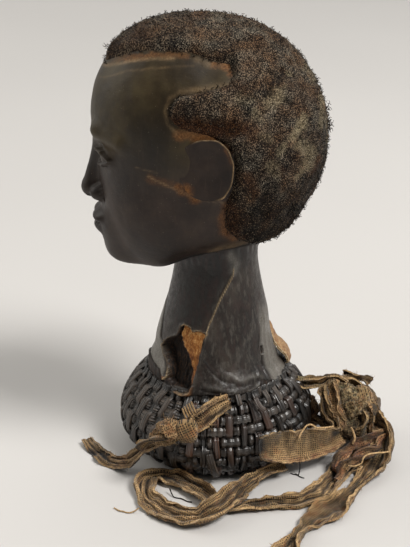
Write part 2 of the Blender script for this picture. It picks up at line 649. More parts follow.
# Loose threads and selvedges: places in millimetres, radius, how much they wander, seed, stains
LOOSE_THREADS = [
    ([(55, 62, 14), (56, 62, 8), (57, 61.5, 3), (58, 61, 0.5), (60, 63, 0.5), (61, 65, 0.5)], 0.45, 0.2, 3,
     {"dirt": 1.0, "edge": 0.0}),
    ([(55, 59, 0.5), (57.5, 61, 0.5), (56, 58, 0.5), (54, 55, 0.5)], 0.35, 0.2, 4,
     {"dirt": 1.0, "edge": 0.0}),
    ([(81, -34, 4), (86, -31, 0.6), (88, -26, 0.6), (91, -22, 0.6), (93, -18, 0.6)], 0.5, 0.5, 5,
     {"dirt": 0.95, "edge": 0.0}),
    ([(70, -22, 7), (74, -15, 4), (80, -8, 1.5), (86, -2, 1.0)], 0.5, 0.3, 6, {"dirt": 0.95, "edge": 0.0}),
    ([(92, 19, 3), (90, 22, 1), (89, 28, 0.6), (92, 33, 0.6)], 0.5, 0.4, 7, {"dirt": 0.95, "edge": 0.0}),
    ([(104, -55, 3), (106, -61, 0.8), (104, -68, 0.6), (100, -73, 0.6)], 0.6, 0.5, 8, {}),
    ([(64.4, 96.5, 13), (66.2, 101.1, 14), (63.8, 106.3, 15), (62.8, 107.9, 19), (59.3, 112, 20),
      (54.2, 119.6, 18), (49.2, 129, 16)],
     0.7, 0.4, 9, {"edge": 1.0}),
    ([(58, 60, 33), (53.6, 62.5, 35), (49.7, 66.2, 38), (48.3, 70, 38.5), (48.6, 74, 36), (45.6, 80.5, 34.4),
      (42.5, 87, 33.4)],
     0.8, 0.3, 10, {"edge": 0.95}),
    ([(66, 100, 10), (69, 104, 13), (65, 107, 13), (62, 104, 10)], 0.5, 0.4, 12, {"edge": 1.0}),
    ([(36, 101, 29), (39, 102.6, 26.5), (42, 103.5, 23), (43, 102, 19)], 1.0, 0.4, 13,
     {"edge": 0.8, "red": 0.4}),
]


def stains(*spots):
    """A mark round places in millimetres: (x, y, how wide, how strong)."""
    def mark(_share, _over, points):
        value = 0.0
        for x, y, wide, strong in spots:
            value = value + strong * np.exp(-((points[:, 0] - x) ** 2 + (points[:, 1] - y) ** 2) / wide**2)
        return value * (0.7 + 0.6 * lumps(points, 4, 71, 2))
    return mark


# The wad's folds: places in millimetres, flat widths, rolls, how far the edges fold over, and stains
WAD_FOLDS = [
    ([(6, 59, 54), (7, 66, 54), (8, 74, 54), (9, 82, 54), (10, 90, 54), (12, 97, 51.5)],
     (14, 20, 24, 24, 22, 18), (50, 60, 64, 66, 66, 66), (1.4, 1.6, 1.4, 1.4), (1.2, 1.4, 1.2, 1.4),
     {"moss": 0.5}),
    ([(-8, 98.5, 51.5), (-8, 104, 52), (-8, 110, 50), (-8, 116, 47.5), (-8, 120, 45)],
     (9, 11, 11, 10, 9), (70, 70, 70, 70), (0.3, 0.5, 0.3), (0.3, 0.6, 0.4), {"dirt": 0.6}),
    ([(17, 81, 53), (23, 81.5, 49), (25.5, 83, 43), (27, 86, 36), (29, 89.5, 29), (30, 92, 22)],
     (10, 13, 14, 14, 12, 10), (70, 80, 90, 94, 94), (1.2, 1.4, 1.2), (1.2, 1.0, 1.2), {"dirt": 0.1}),
    ([(17, 87, 54), (24, 88, 50), (27, 90, 43), (28, 93, 36), (29, 96, 29), (29, 98, 23)],
     (12, 15, 16, 15, 13, 10), (66, 78, 88, 92, 92), (1.0, 1.4, 1.2), (1.2, 1.0, 1.2), {"red": 0.15}),
    ([(6, 70, 30), (9, 74, 27), (13, 79, 23), (18, 84, 18)],
     (10, 14, 14, 12), (60, 70, 80, 84), (1.2, 1.2, 1.2), (1.2, 1.2, 1.2), {"dirt": 0.45, "red": 0.6}),
    ([(8, 95, 51.5), (9, 102, 49.5), (9, 108, 44), (10, 114, 37), (12, 119.5, 29), (14, 123, 20),
      (19, 125, 12)],
     (18, 24, 27, 27, 25, 23, 18), (34, 46, 60, 72, 80, 82, 80), (1.4, 1.4, 1.6, 1.6), (1.4, 1.4, 1.4, 1.6),
     {"moss": 0.15, "edge": 0.12}),
    ([(14, 99, 50), (17, 106, 45), (20, 111, 37), (22, 115, 28), (24, 117, 20)],
     (14, 18, 20, 18, 14), (60, 70, 80, 84), (1.4, 1.4, 1.4), (1.2, 1.4, 1.4), {"edge": 0.1}),
    ([(2, 108, 47), (5, 116, 41), (8, 122, 33), (11, 127, 24), (15, 130, 16)],
     (12, 17, 20, 20, 16), (60, 70, 80, 84, 84), (1.6, 1.6, 1.6), (1.4, 1.4, 1.6), {"red": 0.2}),
    ([(23, 112, 37), (27, 112.5, 31), (29, 112, 24), (30, 110, 17)],
     (10, 14, 16, 13), (80, 90, 94, 96), (1.0, 1.2, 1.2), (1.0, 1.2, 1.2), {"moss": 0.6, "edge": 0.2}),
    ([(19, 131, 19), (28, 122.5, 16), (35, 112, 15), (42, 102, 13.5), (51, 93, 12), (61, 87, 9)],
     (18, 22, 24, 23, 22, 16), (40, 80, 130, 170, 220, 260), (2.4, 2.6, 2.4, 2.4), (2.2, 2.4, 2.4, 2.2),
     {"red": 0.85}),
    ([(27, 133, 15), (37, 122.5, 12.5), (46, 111.5, 11.5), (54, 101, 10.5), (63, 92.5, 8), (72, 88, 5)],
     (16, 20, 22, 22, 20, 14), (20, 60, 100, 150, 190, 240), (2.2, 2.4, 2.4, 2.2), (2.4, 2.4, 2.2, 2.2),
     {"red": 0.75}),
]
# Lumps of crumpled cloth: middle, radii, how folded, stains
WAD_LUMPS = [
    ((0, 106, 23), (24, 22, 19), 0.2, {"dirt": 0.85}), ((16, 98, 46), (8, 9, 8), 0.42, {"moss": 0.9}),
    ((18, 103, 38), (9, 9, 9), 0.42, {"moss": 0.95}),
    ((20, 97, 31), (8, 9, 8), 0.42, {"moss": 0.85, "dirt": 0.1}),
    ((16, 110, 42), (7, 7, 8), 0.42, {"moss": 0.5}),
    ((4, 74, 25), (8, 6, 11), 0.36, {"dirt": 0.5, "red": 0.9}),
    ((12, 90, 46), (8, 8, 8), 0.36, {"moss": 0.3}),
    ((22, 104, 22), (8, 9, 6), 0.36, {"dirt": 0.7, "moss": 0.5}),
]
LOOP_DARK = [(61, -40, 7, 0.95), (68, -46, 5, 0.6), (78, -43, 4, 0.6), (66, -30, 4, 0.3), (90, 20, 5, 0.5),
             (84, 26, 5, 0.3), (113, -12, 4, 0.4), (97, 45, 8, 0.35), (90, 64, 8, 0.35), (62, 90, 9, 0.7),
             (100, 22, 6, 0.5), (50, 96, 9, 0.9)]
LOOP_RED = [(104, -40, 7, 0.4), (70, -56, 6, 0.35), (118, -14, 6, 0.25), (98, 8, 6, 0.2)]


def blotched(strength, size, seed, weak=0.6, uneven=0.6):
    """A mark's strength, a function of the share along and the place across, broken up by lumps of a size."""
    return lambda s, o, p: strength(s, o) * (weak + uneven * lumps(p, size, seed))


def add_left_tie(cloth):
    route = STRAP_ROUTE + TAIL_ROUTE[::-1]
    soiled = stains((34, -79, 9, 0.5), (27, -86, 7, 0.35), (66, 0, 9, 0.15))
    left_strip = strip(
        in_mm(route), (13, 17, 19, 18, 16, 14, 14, 15, 17, 17, 15, 14, 13, 12, 10),
        (-50, -60, -70, -78, -80, -78, -70, -50, -36, -30, -30, -26, -10, 6, 10),
        (1.2, 1.0, 0.9, 1.2, 1.8, 1.8, 1.4, 1.0, 0.7, 0.6, 0.5, 0.3, 0.3, 0.3),
        (1.2, 1.1, 1.0, 1.4, 2.0, 1.8, 1.4, 1.0, 0.7, 0.8, 1.0, 1.4, 0.6, 0.3),
        pleats=1.1, crumple=1.3, seed=4, reach=10.0,
        marks={"red": stains((47, -70, 8, 0.8), (61, -53, 4, 0.4), (70, -8, 8, 0.25)),
               "dirt": lambda s, o, p: 0.36 * smooth(0.0, 0.4, s) + soiled(s, o, p),
               "edge": stains((66, 0, 4, 0.6), (62, 7, 3, 0.6), (14, -99, 4, 0.5))})
    tie_left = striped_piece("tie_left", [left_strip, fuzz(left_strip, 420, 2.0, 3, "edge")],
                             cloth, ("tie_strap", "tie_tail"))
    wrap = crumpled((72, -34.5, 48), (7.5, 8.5, 6.8), 26, 0.36, 6, red=0.25, edge=0.1)
    under = crumpled((70, -39, 41), (6, 8, 6), 18, 0.34, 16, dirt=0.3)
    pillow = crumpled((75.5, -21.5, 49), (5.5, 7.6, 8.6), 22, 0.04, 8, 3.0, 0.62, 0.45)
    pillow[2].update(open=0.72, across=pillow[2]["across"] * 0.85, lengthwise=pillow[2]["lengthwise"] * 0.85)
    strand = strip([(71, -56, 33), (75, -51.5, 39), (77.5, -46, 43), (78, -40, 45), (76, -35, 44)],
                   (13, 15, 15, 14, 11), (-60, -66, -70, -66), (2.0, 2.2, 2.0), (2.0, 2.2, 2.0),
                   1.0, 0.8, 0.2, 77, {"dirt": 0.1})
    knot_parts = [wrap, under, pillow, fuzz(wrap, 420, 1.8, 5), fuzz(pillow, 40, 1.2, 6), strand]
    for turn in range(5):
        middle = np.array([70 - 0.2 * turn, -22.5 + 1.6 * turn, 59.5 + 1.2 * turn])
        bight = middle + [(-2, -2.2, 3.6), (2.4, -1, 2.4), (3.4, 0.4, -1.0), (1.5, 1.4, -4.4)]
        knot_parts.append(long_thread(bight, 0.75, 0.25, 24 + turn, edge=0.35))
    knot = striped_piece("tie_knot_wraps", knot_parts, cloth, ("tie_knot",))
    declare(route)


def wad_parts():
    """The bunched rag: lumps of crumpled cloth under strips that lie in folds, all pushed about together."""
    parts = []
    for number, (middle, radii, folded, tint) in enumerate(WAD_LUMPS):
        detail = 30 if number == 0 else int(1.2 * max(radii)) + 9
        parts.append(crumpled(middle, radii, detail, folded, 12 + 7 * number, **tint))
    for number, (route, widths, rolls, left, right, tint) in enumerate(WAD_FOLDS):
        marks = {key: blotched(lambda s, o, v=value: v, 6, 7, 0.65, 0.7) for key, value in tint.items()}
        parts.append(strip(route, widths, rolls, left, right, 1.3, 1.6, 0.3, 51 + number, marks,
                           worn_edge=0.45))
    parts = [jumbled(part, 91) for part in parts]
    return parts + [fuzz(part, 110, 2.0, 61 + number) for number, part in enumerate(parts[1:])]


def band_dirt(s, o, p):
    ends = 0.6 * smooth(0.1, 0.0, s) + 0.5 * smooth(0.86, 0.95, s) * smooth(0.2, -0.4, o)
    return ends + 0.5 * smooth(0.6, 0.95, o) * smooth(0.0, 0.5, lumps(p, 3, 6))


def add_rags(cloth):
    """The loop, the band, the wad that holds them and the strip that leaves it."""
    loop_path = in_mm(LOOP_ROUTE)
    loop_path[:, 1] += 2.2 * smooth(-32, -50, loop_path[:, 1])
    loop = strip(
        loop_path, (13, 14, 15, 18, 25, 30, 32, 32, 30, 29, 28, 27, 27, 27, 26, 26, 26, 26, 24, 22, 20, 22,
                    26, 29, 29, 27, 24, 24, 22),
        (-50, -40, -30, -24, -18, -10, 0, -6, 10, 18, 25, 20, 8, 0, 0, 8, 14, 16, 16, 14, 12, 16, 20, 26),
        (1.2, 1.2, 1.2, 1.2, 1.0, 1.0, 1.0, 0.8, 0.8, 1.0, 1.2, 1.4, 1.4, 1.2, 1.2, 1.0, 0.8, 0.6, 0.6, 0.8,
         1.0, 1.2),
        (0.8, 0.9, 1.0, 1.0, 0.9, 0.8, 0.8, 1.0, 1.2, 1.4, 1.2, 0.8, 0.7, 1.0, 1.2, 1.2, 1.2, 1.2, 1.2, 1.0,
         1.2),
        pleats=1.35, crumple=1.6, seed=11, reach=8.8, opened=0.76,
        marks={"dirt": stains(*LOOP_DARK), "red": stains(*LOOP_RED),
               "moss": stains((101, -37, 5, 0.35), (70, -52, 5, 0.3)),
               "edge": blotched(lambda s, o: 0.32 * smooth(0.12, 0.3, s), 6, 12)})
    band = strip(
        in_mm(BAND_ROUTE), (17, 22, 24, 24, 23, 20, 14), (76, 76, 78, 78, 74, 70, 66),
        (0.3, 0.2, 0.1, 0.2, 0.8),
        (0.6, 0.5, 0.5, 0.6, 0.9), crumple=1.5, ripple=0.16, seed=21, worn_edge=0.5, opened=0.76,
        marks={"red": blotched(lambda s, o: 0.9 * smooth(0.5, 0.9, o), 4, 5, 0.6, 0.9), "dirt": band_dirt,
               "edge": blotched(lambda s, o: 0.6 * smooth(0.06, 0.2, s), 4, 13),
               "moss": lambda s, o, p: 0.2 * smooth(0.1, -0.3, o)})
    # The band's threads lie a little closer than the other strips'
    for way in ("across", "lengthwise"):
        band[2][way] = 1.05 * band[2][way]
    rag_tail = strip(
        in_mm(RAG_TAIL_ROUTE), (22, 25, 27, 27, 26, 24, 17, 15, 22, 27, 26, 18, 14, 19, 24, 24, 18),
        (60, 50, 40, 26, 18, 14, 8, 0, -8, -6, 4, 10, 8, 4, 6),
        (1.0, 1.2, 1.0, 0.6, 0.6, 0.8, 1.4, 1.4, 0.6, 0.6, 1.2, 1.6, 0.8, 0.4),
        (1.2, 1.2, 0.9, 0.7, 0.9, 1.4, 1.4, 0.7, 0.5, 0.6, 1.2, 1.2, 0.6, 0.3),
        pleats=0.8, crumple=1.3, seed=31, reach=11.4, opened=0.76,
        marks={"dirt": stains((80, 98, 6, 0.4), (118, 66, 6, 0.5)),
               "moss": stains((136, 60, 8, 0.4), (44, 124, 9, 0.4))})
    wad = striped_piece("rag_wad_folds", wad_parts(), cloth, ("rag_wad",))
    tie_loop = striped_piece("tie_loop", [loop, fuzz(loop, 700, 1.6, 9, "edge")], cloth,
                             ("tie_loop_out", "tie_loop_back"))
    declare(LOOP_ROUTE)
    band_piece = striped_piece("tie_band_strip", [band, fuzz(band, 260, 1.8, 10, "edge")], cloth,
                               ("tie_band",))
    tail_piece = striped_piece("rag_tail_strip",
                               [rag_tail, fuzz(rag_tail, 300, 1.8, 11, "edge")], cloth, ("rag_tail",))
    declare(RAG_TAIL_ROUTE)


def add_cloth():
    cloth = cloth_paint("old_cloth")
    add_left_tie(cloth)
    add_rags(cloth)
    loose = [long_thread(*line[:4], **line[4]) for line in LOOSE_THREADS]
    striped_piece("loose_threads", loose, cloth)


# The head, worked out as signed distances in millimetres, as in the part's source but with finer carving

HEAD_CENTRE = np.array([0.0, -8, 238])
FACE_FOCUS = 2.3


def join(a, b, k):
    h = np.clip(0.5 + 0.5 * (b - a) / k, 0, 1)
    return b * (1 - h) + a * h - k * h * (1 - h)


def cut(a, b, k):
    return -join(-a, b, k)


def egg(p, centre, radii):
    q = (p - np.array(centre, float)) / np.array(radii, float)
    near = np.linalg.norm(q, axis=-1)
    return near * (near - 1) / np.maximum(np.linalg.norm(q / np.array(radii, float), axis=-1), 1e-9)


def off_segment(p, start, end):
    """Distances to a straight line between two places, and the shares of it where it is nearest."""
    start, axis = np.array(start, float), np.array(end, float) - np.array(start, float)
    t = np.clip((p - start) @ axis / (axis @ axis), 0, 1)
    return np.linalg.norm(p - start - t[..., None] * axis, axis=-1), t


def bar(p, start, end, start_radius, end_radius):
    distance, t = off_segment(p, start, end)
    return distance - start_radius - (end_radius - start_radius) * t


def left_half(p):
    """Places with those on the right turned over to the left."""
    return np.concatenate([np.abs(p[..., :1]), p[..., 1:]], -1)


def skull(p):
    d = egg(p, (0, -5, 246), (66, 77, 79))
    for centre, radii, k in (((0, -32, 266), (56, 56, 58), 14), ((0, -36, 206), (52, 46, 58), 16),
                             ((0, -18, 196), (56, 54, 46), 16), ((0, -65, 167), (22, 17, 17), 14),
                             ((0, 15, 195), (46, 38, 42), 14)):
        d = join(d, egg(p, centre, radii), k)
    x, y = np.abs(p[..., 0]), p[..., 1]
    underside = 149 + 16 * smooth(-54, -14, y) + 5.5 * smooth(-20, 10, y) + 0.3 * np.maximum(0, y - 12)
    underside = underside + 7 * smooth(28, 54, x) * smooth(-56, -24, y) * smooth(32, 16, y)
    return cut(d, 0.86 * (p[..., 2] - underside), 9)


UPPER_LID = [(14.5, -80.2, 237.6), (19, -83, 241.4), (26, -83.4, 243.4), (33, -80, 242.4), (39, -74.5, 238.6)]
LOWER_LID = [(15.5, -80, 236), (20, -81.5, 233.6), (26, -81.8, 232.6), (33, -79, 233.6), (38, -75, 236.4)]


def carved_head(p):
    q = left_half(p)
    d = skull(p)
    d = cut(d, egg(q, (27, -95, 238), (20, 17, 13)), 9)
    d = join(d, egg(q, (25, -67, 238.5), (15, 14, 11.5)), 2)
    d = join(d, bar(q, (9, -83, 251), (26, -81, 257), 3.5, 4.2), 7)
    d = join(d, bar(q, (26, -81, 257), (44, -66, 252), 4.2, 3), 7)
    for lid, radius in ((UPPER_LID, 1.25), (LOWER_LID, 1.0)):
        for start, end in zip(lid[:-1], lid[1:]):
            d = join(d, bar(q, start, end, radius, radius), 1.3)
    for start, end in zip(UPPER_LID[:-1], UPPER_LID[1:]):
        crease = (np.array(start) + (0, -1.2, 4.6), np.array(end) + (0, -1.2, 4.6))
        d = cut(d, bar(q, *crease, 0.7, 0.7), 1.6)
    d = join(d, bar(p, (0, -80, 248), (0, -89, 211), 4.6, 7.4), 7)
    d = join(d, egg(p, (0, -90, 207.5), (8.2, 7.8, 7.2)), 3)
    d = join(d, egg(q, (10.5, -82, 206.5), (6.6, 8.6, 6.2)), 3)
    d = cut(d, egg(q, (6.2, -90, 200.6), (3.2, 4.6, 3.4)), 1.2)
    d = cut(d, bar(q, (15.6, -82, 212), (18.4, -78, 204), 1.2, 1.0), 3)
    d = join(d, egg(p, (0, -70, 184.5), (27, 15.5, 17)), 8)
    d = cut(d, bar(p, (0, -89.5, 199), (0, -89, 194), 1.5, 1.8), 2.5)
    d = join(d, egg(q, (6.5, -82, 189), (13, 7.6, 4.8)), 3)
    d = join(d, egg(p, (0, -81, 180.4), (15.5, 8.4, 5.4)), 3)
    d = cut(d, egg(q, (0, -93, 184.9), (22, 14, 1.8)), 1.6)
    return cut(d, egg(p, (0, -92, 171.5), (15, 8, 4)), 5)


def reach(surface, directions, start=140.0):
    """Distance from the head's centre to a surface, along each direction."""
    t = np.full(len(directions), start)
    moving = np.arange(len(directions))
    for _ in range(160):
        d = surface(HEAD_CENTRE + t[moving, None] * directions[moving])
        t[moving] -= np.clip(0.8 * d, 0, 8)
        moving = moving[d > 0.015]
        if not len(moving):
            break
    return t


def focused(net):
    """Draws directions together on the face."""
    half = np.sqrt((1 + net[:, 1]) / np.maximum(1 - net[:, 1], 1e-9)) / FACE_FOCUS
    front = (1 - half**2) / (1 + half**2)
    side = np.maximum(np.hypot(net[:, 0], net[:, 2]), 1e-9)
    spread = np.sqrt(np.maximum(1 - front**2, 0)) / side
    return np.stack([net[:, 0] * spread, -front, net[:, 2] * spread], -1)


HAIR_OUTLINE = np.array([
    (-140, 286), (-84, 295), (-76, 300), (-66, 306), (-56, 310), (-44, 312), (-20, 312), (-12, 310),
    (-6, 307), (8, 305), (9, 299), (6, 294), (-13, 290), (-25, 288), (-30, 284), (-32, 277), (-30, 270),
    (-24, 266), (-6, 262), (5, 257), (10, 250), (11, 240), (9, 225), (5, 216), (4, 196), (11, 188),
    (23, 179), (40, 176), (140, 172), (140, 400), (-140, 400),
], float)


def inside_outline(p, outline):
    """Signed distance in two measures to a closed outline, positive inside."""
    nearest, inside = np.full(len(p), np.inf), np.zeros(len(p), bool)
    for a, b in zip(outline, np.roll(outline, -1, axis=0)):
        nearest = np.minimum(nearest, off_segment(p, a, b)[0])
        rise = np.where(a[1] == b[1], 1e-9, b[1] - a[1])
        inside ^= ((a[1] > p[:, 1]) != (b[1] > p[:, 1])) & (p[:, 0] < a[0]
                                                            + (p[:, 1] - a[1]) * (b[0] - a[0]) / rise)
    return np.where(inside, nearest, -nearest)


def hairline(p):
    return inside_outline(p[:, 1:], HAIR_OUTLINE)


def hair_depth(p):
    full = 5.6 + 2.9 * smooth(-80, 40, p[:, 1])
    return full * (0.4 + 0.6 * smooth(172, 215, p[:, 2]))


def near_line(q, line):
    """Distance to a line through several places."""
    return np.minimum.reduce([off_segment(q, a, b)[0] for a, b in zip(line[:-1], line[1:])])


def skin_paint():
    """Dark polished hide: olive on the brow, browner and greyer below, matte and brown where it is worn."""
    paint = Paint("head_leather", Specular_IOR_Level=0.3, Coat_Weight=0.06, Coat_Roughness=0.35)
    broad = paint.noise(38, detail=4, rough=0.6)
    grain = paint.noise(1.2, detail=5, rough=0.65)
    colour = paint.coats(
        paint.ramp(broad, (0.34, 32, 24, 12), (0.5, 50, 41, 24), (0.68, 72, 62, 40)),
        (paint.mark("low"), paint.ramp(broad, (0.34, 28, 19, 14), (0.5, 42, 32, 27), (0.68, 60, 49, 42))),
        (paint.ramp(paint.noise(8, detail=5, rough=0.7), (0.5, 0.0), (0.8, 0.35)), shade(64, 50, 32)),
        (paint.mark("shade"), shade(14, 9, 6)),
        (paint.mark("warm"), paint.ramp(grain, (0.3, 78, 44, 18), (0.5, 116, 74, 36), (0.7, 156, 112, 68))),
        (paint.mark("rim"), paint.ramp(grain, (0.3, 120, 92, 58), (0.7, 178, 152, 116))),
        (paint.mark("dark"), shade(4, 3, 3)),
        (paint.ramp(paint.drawn_noise(3.0, 0.16, 4, 0.7), (0.56, 0.0), (0.78, 0.22)), shade(84, 66, 50)),
        (paint.ramp(paint.noise(0.9, detail=1), (0.76, 0.0), (0.8, 0.55)), shade(150, 138, 118)))
    rough = paint.sum("ADD", paint.ramp(broad, (0.3, 0.38), (0.7, 0.5)), paint.sum("MULTIPLY", grain, 0.12))
    worn = paint.sum("MAXIMUM", paint.mark("warm"), paint.mark("matte"))
    normal = paint.bump(paint.drawn_noise(5, 2.6, 4, 0.6), 0.16, 1.2,
                        paint.bump(paint.cells(0.9), 0.12, 0.25, paint.bump(grain, 0.2, 0.35)))
    return paint.wear(Base_Color=colour, Roughness=paint.mix(worn, rough, grey(0.85)), Normal=normal)


EAR = {"y": -8, "z": 240.5, "x": 65, "half_length": 18.5, "half_height": 21.5, "thickness": 6, "turn": 0.1}


def ear_part(side):
    """A flat rounded disc with a raised raw rim, standing off the head along its rear edge."""
    rings, around = 34, 96
    v = np.linspace(0, 1, rings)[:, None]
    a = np.linspace(0, 2 * np.pi, around, endpoint=False)[None]
    # The section runs from the middle of the outer face over the rounded edge to the middle of the inner face
    share = np.where(v < 0.72, v / 0.72, 1 - (v - 0.72) / 0.28 * 0.6)
    rise = np.where(v < 0.72, 0.5, 0.5 - smooth(0.72, 0.84, v))
    reach_out = share * (1 + 0.012 * np.sin(5 * a + 1) + 0.008 * np.sin(11 * a))
    squared = np.where(np.cos(a) > 0, 0.72, 0.95)
    y = EAR["half_length"] * reach_out * signed_power(np.cos(a), squared)
    z = EAR["half_height"] * reach_out * signed_power(np.sin(a), np.where(np.cos(a) > 0, 0.86, 0.95))
    rear = smooth(-0.62, -0.3, np.cos(a)) * smooth(-0.95, -0.7, np.sin(a) + 0.3 * np.cos(a))
    flat = np.stack([y, z, 0 * y], -1)
    rim = bell(share - 0.985, 0.028) * (v < 0.8)
    dish = -0.7 * smooth(0.93, 0.3, share) + 0.5 * rim * rear + 0.4 * lumps(flat, 9, 5, 2)
    out = EAR["thickness"] * rise + dish * (v < 0.8)
    turn = side * EAR["turn"]
    sink = 3.4 * smooth(-3, -EAR["half_length"], y) + 0 * a
    x = out * np.cos(turn) + y * np.sin(abs(turn)) - sink
    points = np.stack([side * (EAR["x"] + x), EAR["y"] + y * np.cos(turn), EAR["z"] + z], -1).reshape(-1, 3)
    faces = grid_faces(rings, around, closed=True)
    if side < 0:
        faces = faces[:, ::-1]
    warm = 0.8 * smooth(7, 2, np.hypot(y + 13, z + 15))
    warm = warm + 0.6 * bell(share - 0.9, 0.05) * smooth(0.1, 0.4, a) * smooth(1.0, 0.7, a)
    marks = {"rim": np.clip(rim * rear * (0.8 + 0.5 * lumps(flat, 3, 8)), 0, 1).ravel(),
             "warm": np.clip(warm * (0.7 + 0.5 * lumps(flat, 3, 9)), 0, 1).ravel(), "dark": 0.0, "low": 1.0,
             "shade": 0.15, "matte": 0.3}
    return points, faces, marks


# Worn brown places and pale lines on the head's sides: places as (y, z), how wide, how strong
WORN_PLACES = [
    ([(-3, 306), (7, 304), (8, 300)], 3.6, 0.9), ([(-28, 274), (-10, 270), (6, 266)], 5.0, 0.35),
    ([(-26, 263), (-13, 263), (2, 261), (9, 255)], 5.5, 0.75), ([(-45, 231), (-32, 229)], 5.0, 0.3),
    ([(-26, 226), (-19, 224), (-15, 219)], 5.5, 0.85), ([(6, 214), (3, 205), (4, 193), (11, 187)], 5.0, 0.6),
    ([(-82, 299), (-60, 307), (-40, 310.5), (-20, 311)], 2.6, 0.55),
]
PALE_LINES = [
    ([(-84, 295.5), (-72, 300.5), (-58, 305.5), (-44, 308.3), (-29, 309)], 0.8, 0.5),
    ([(-80, 291), (-60, 300), (-40, 303.5), (-16, 305)], 0.5, 0.22), ([(-14, 309), (-6, 306)], 2.0, 0.3),
    ([(8, 294), (-13, 291.5), (-25, 290)], 1.8, 0.4),
    ([(-25, 290), (-32, 286), (-34.5, 278), (-33, 270), (-27, 264)], 1.1, 0.3),
    ([(-47, 233), (-30, 226), (-13, 219), (4, 216)], 0.6, 0.36), ([(-40, 236), (-55, 238)], 0.5, 0.2),
]
# Along the slit of the left eye, and the left nostril's middle and radii
EYE_SLIT = [(15.5, -82, 237), (20, -83.5, 237.6), (26, -84, 238), (33, -81, 237.8), (38, -76, 237.4)]
NOSTRIL = ((6.2, -88, 201.6), (3.4, 5.5, 3.2))
# The open joint between head and neck, as (y, z)
JUNCTION = [(-34, 156), (-24, 161.5), (-18.8, 165.4), (-14.8, 167.7), (-8, 168.4), (-1, 169.3), (4, 170.4),
            (9, 171.6), (17.5, 172.6), (26, 174)]
# The head's edge over that gap, as (y, z): what hangs below it lies in the dark
UNDER_EDGE = np.array([(-29.0, 165.9), (-25.0, 168.4), (-17.7, 172.3), (-9.6, 173.1), (0.0, 172.7),
                       (8.0, 175.3), (16.0, 178.3), (22.9, 180.6)])


def add_head():
    net, faces = sphere_net(84)
    directions = focused(net)
    points = HEAD_CENTRE + reach(carved_head, directions)[:, None] * directions
    half, side = left_half(points), points[:, 1:]
    flank = smooth(12, 30, half[:, 0])
    crack = near_line(side, JUNCTION) + 30 * smooth(30, 10, half[:, 0])
    crust = bell(near_line(side, [(-4, 174), (8, 178), (18, 180)]) - 0.5, 3.4) * smooth(20, 34, half[:, 0])
    fine = 0.22 * lumps(points, 11, 3, 2) + 0.1 * lumps(points, 4, 9) - 1.3 * bell(crack, 0.9)
    points += fine[:, None] * directions

    y, z = side[:, 0], side[:, 1]
    nostril = np.linalg.norm((half - NOSTRIL[0]) / NOSTRIL[1], axis=1)
    hanging = smooth(0.6, -0.5, z - np.interp(y, *UNDER_EDGE.T)) * smooth(-37, -32, y)
    hanging *= smooth(29, 24, y) * smooth(16, 22, half[:, 0])
    dark = np.maximum.reduce([0.9 * smooth(1.5, 0.5, near_line(half, EYE_SLIT)), smooth(1.25, 0.7, nostril),
                              0.9 * bell(crack, 0.8), 0.9 * hanging])
    spread = 1.6 * lumps(points, 4, 21, 2)
    stain = np.maximum.reduce([strength * smooth(width, 0.2 * width, near_line(side, line) + spread)
                               for line, width, strength in WORN_PLACES])
    rim = np.maximum.reduce([strength * bell(near_line(side, line) + 0.25 * spread, width)
                             for line, width, strength in PALE_LINES] + [0.3 * crust])
    patchy = 0.75 + 0.5 * lumps(points, 5, 22, 2)
    temple = bell(y + 42, 17) * bell(z - 256, 22) * flank
    under = smooth(196, 168, z) * smooth(-60, -20, y)
    notch = bell(y - 2, 9) * bell(z - 299, 7) * flank
    marks = {"warm": np.clip(stain * flank * patchy, 0, 1), "rim": np.clip(rim * patchy, 0, 1), "dark": dark,
             "low": smooth(262, 222, z + 5 * lumps(points, 16, 26)),
             "shade": np.clip(0.75 * temple + 0.3 * under, 0, 1),
             "matte": np.clip(notch + crust, 0, 1)}
    points, faces, marks = gather([(points, faces, marks), ear_part(1), ear_part(-1)])
    make_piece("head_skin", points, faces, skin_paint(), marks=marks, replaces=("head",))


def hair_paint():
    """Salt and pepper frizz: near black with light flecks, more of them where the tone mark is high."""
    paint = Paint("tight_curls", Specular_IOR_Level=0.18)
    speck = paint.noise(0.72, detail=2.5, rough=0.65)
    broad = paint.noise(14, detail=3)
    dark = paint.mix(paint.ramp(broad, (0.35, 0.0), (0.65, 1.0)), shade(13, 11, 10), shade(27, 18, 13))
    light = paint.mix(paint.ramp(broad, (0.35, 0.0), (0.65, 1.0)), shade(142, 132, 116), shade(134, 106, 80))
    flecked = paint.sum("ADD", speck, paint.sum("MULTIPLY", paint.mark("tone"), 0.13))
    tone = paint.mix(paint.ramp(flecked, (0.575, 0.0), (0.69, 1.0)), dark, light)
    rust = paint.ramp(speck, (0.4, 22, 12, 7), (0.54, 58, 33, 16), (0.68, 116, 80, 50))
    tone = paint.mix(paint.mark("brown"), tone, rust)
    bare = paint.ramp(speck, (0.36, 44, 36, 26), (0.5, 122, 110, 86), (0.66, 178, 166, 138))
    colour = paint.mix(paint.mark("bare"), tone, bare)
    return paint.wear(Base_Color=colour, Roughness=paint.ramp(speck, (0.3, 0.7), (0.7, 0.95)),
                      Normal=paint.bump(speck, 0.8, 0.8))


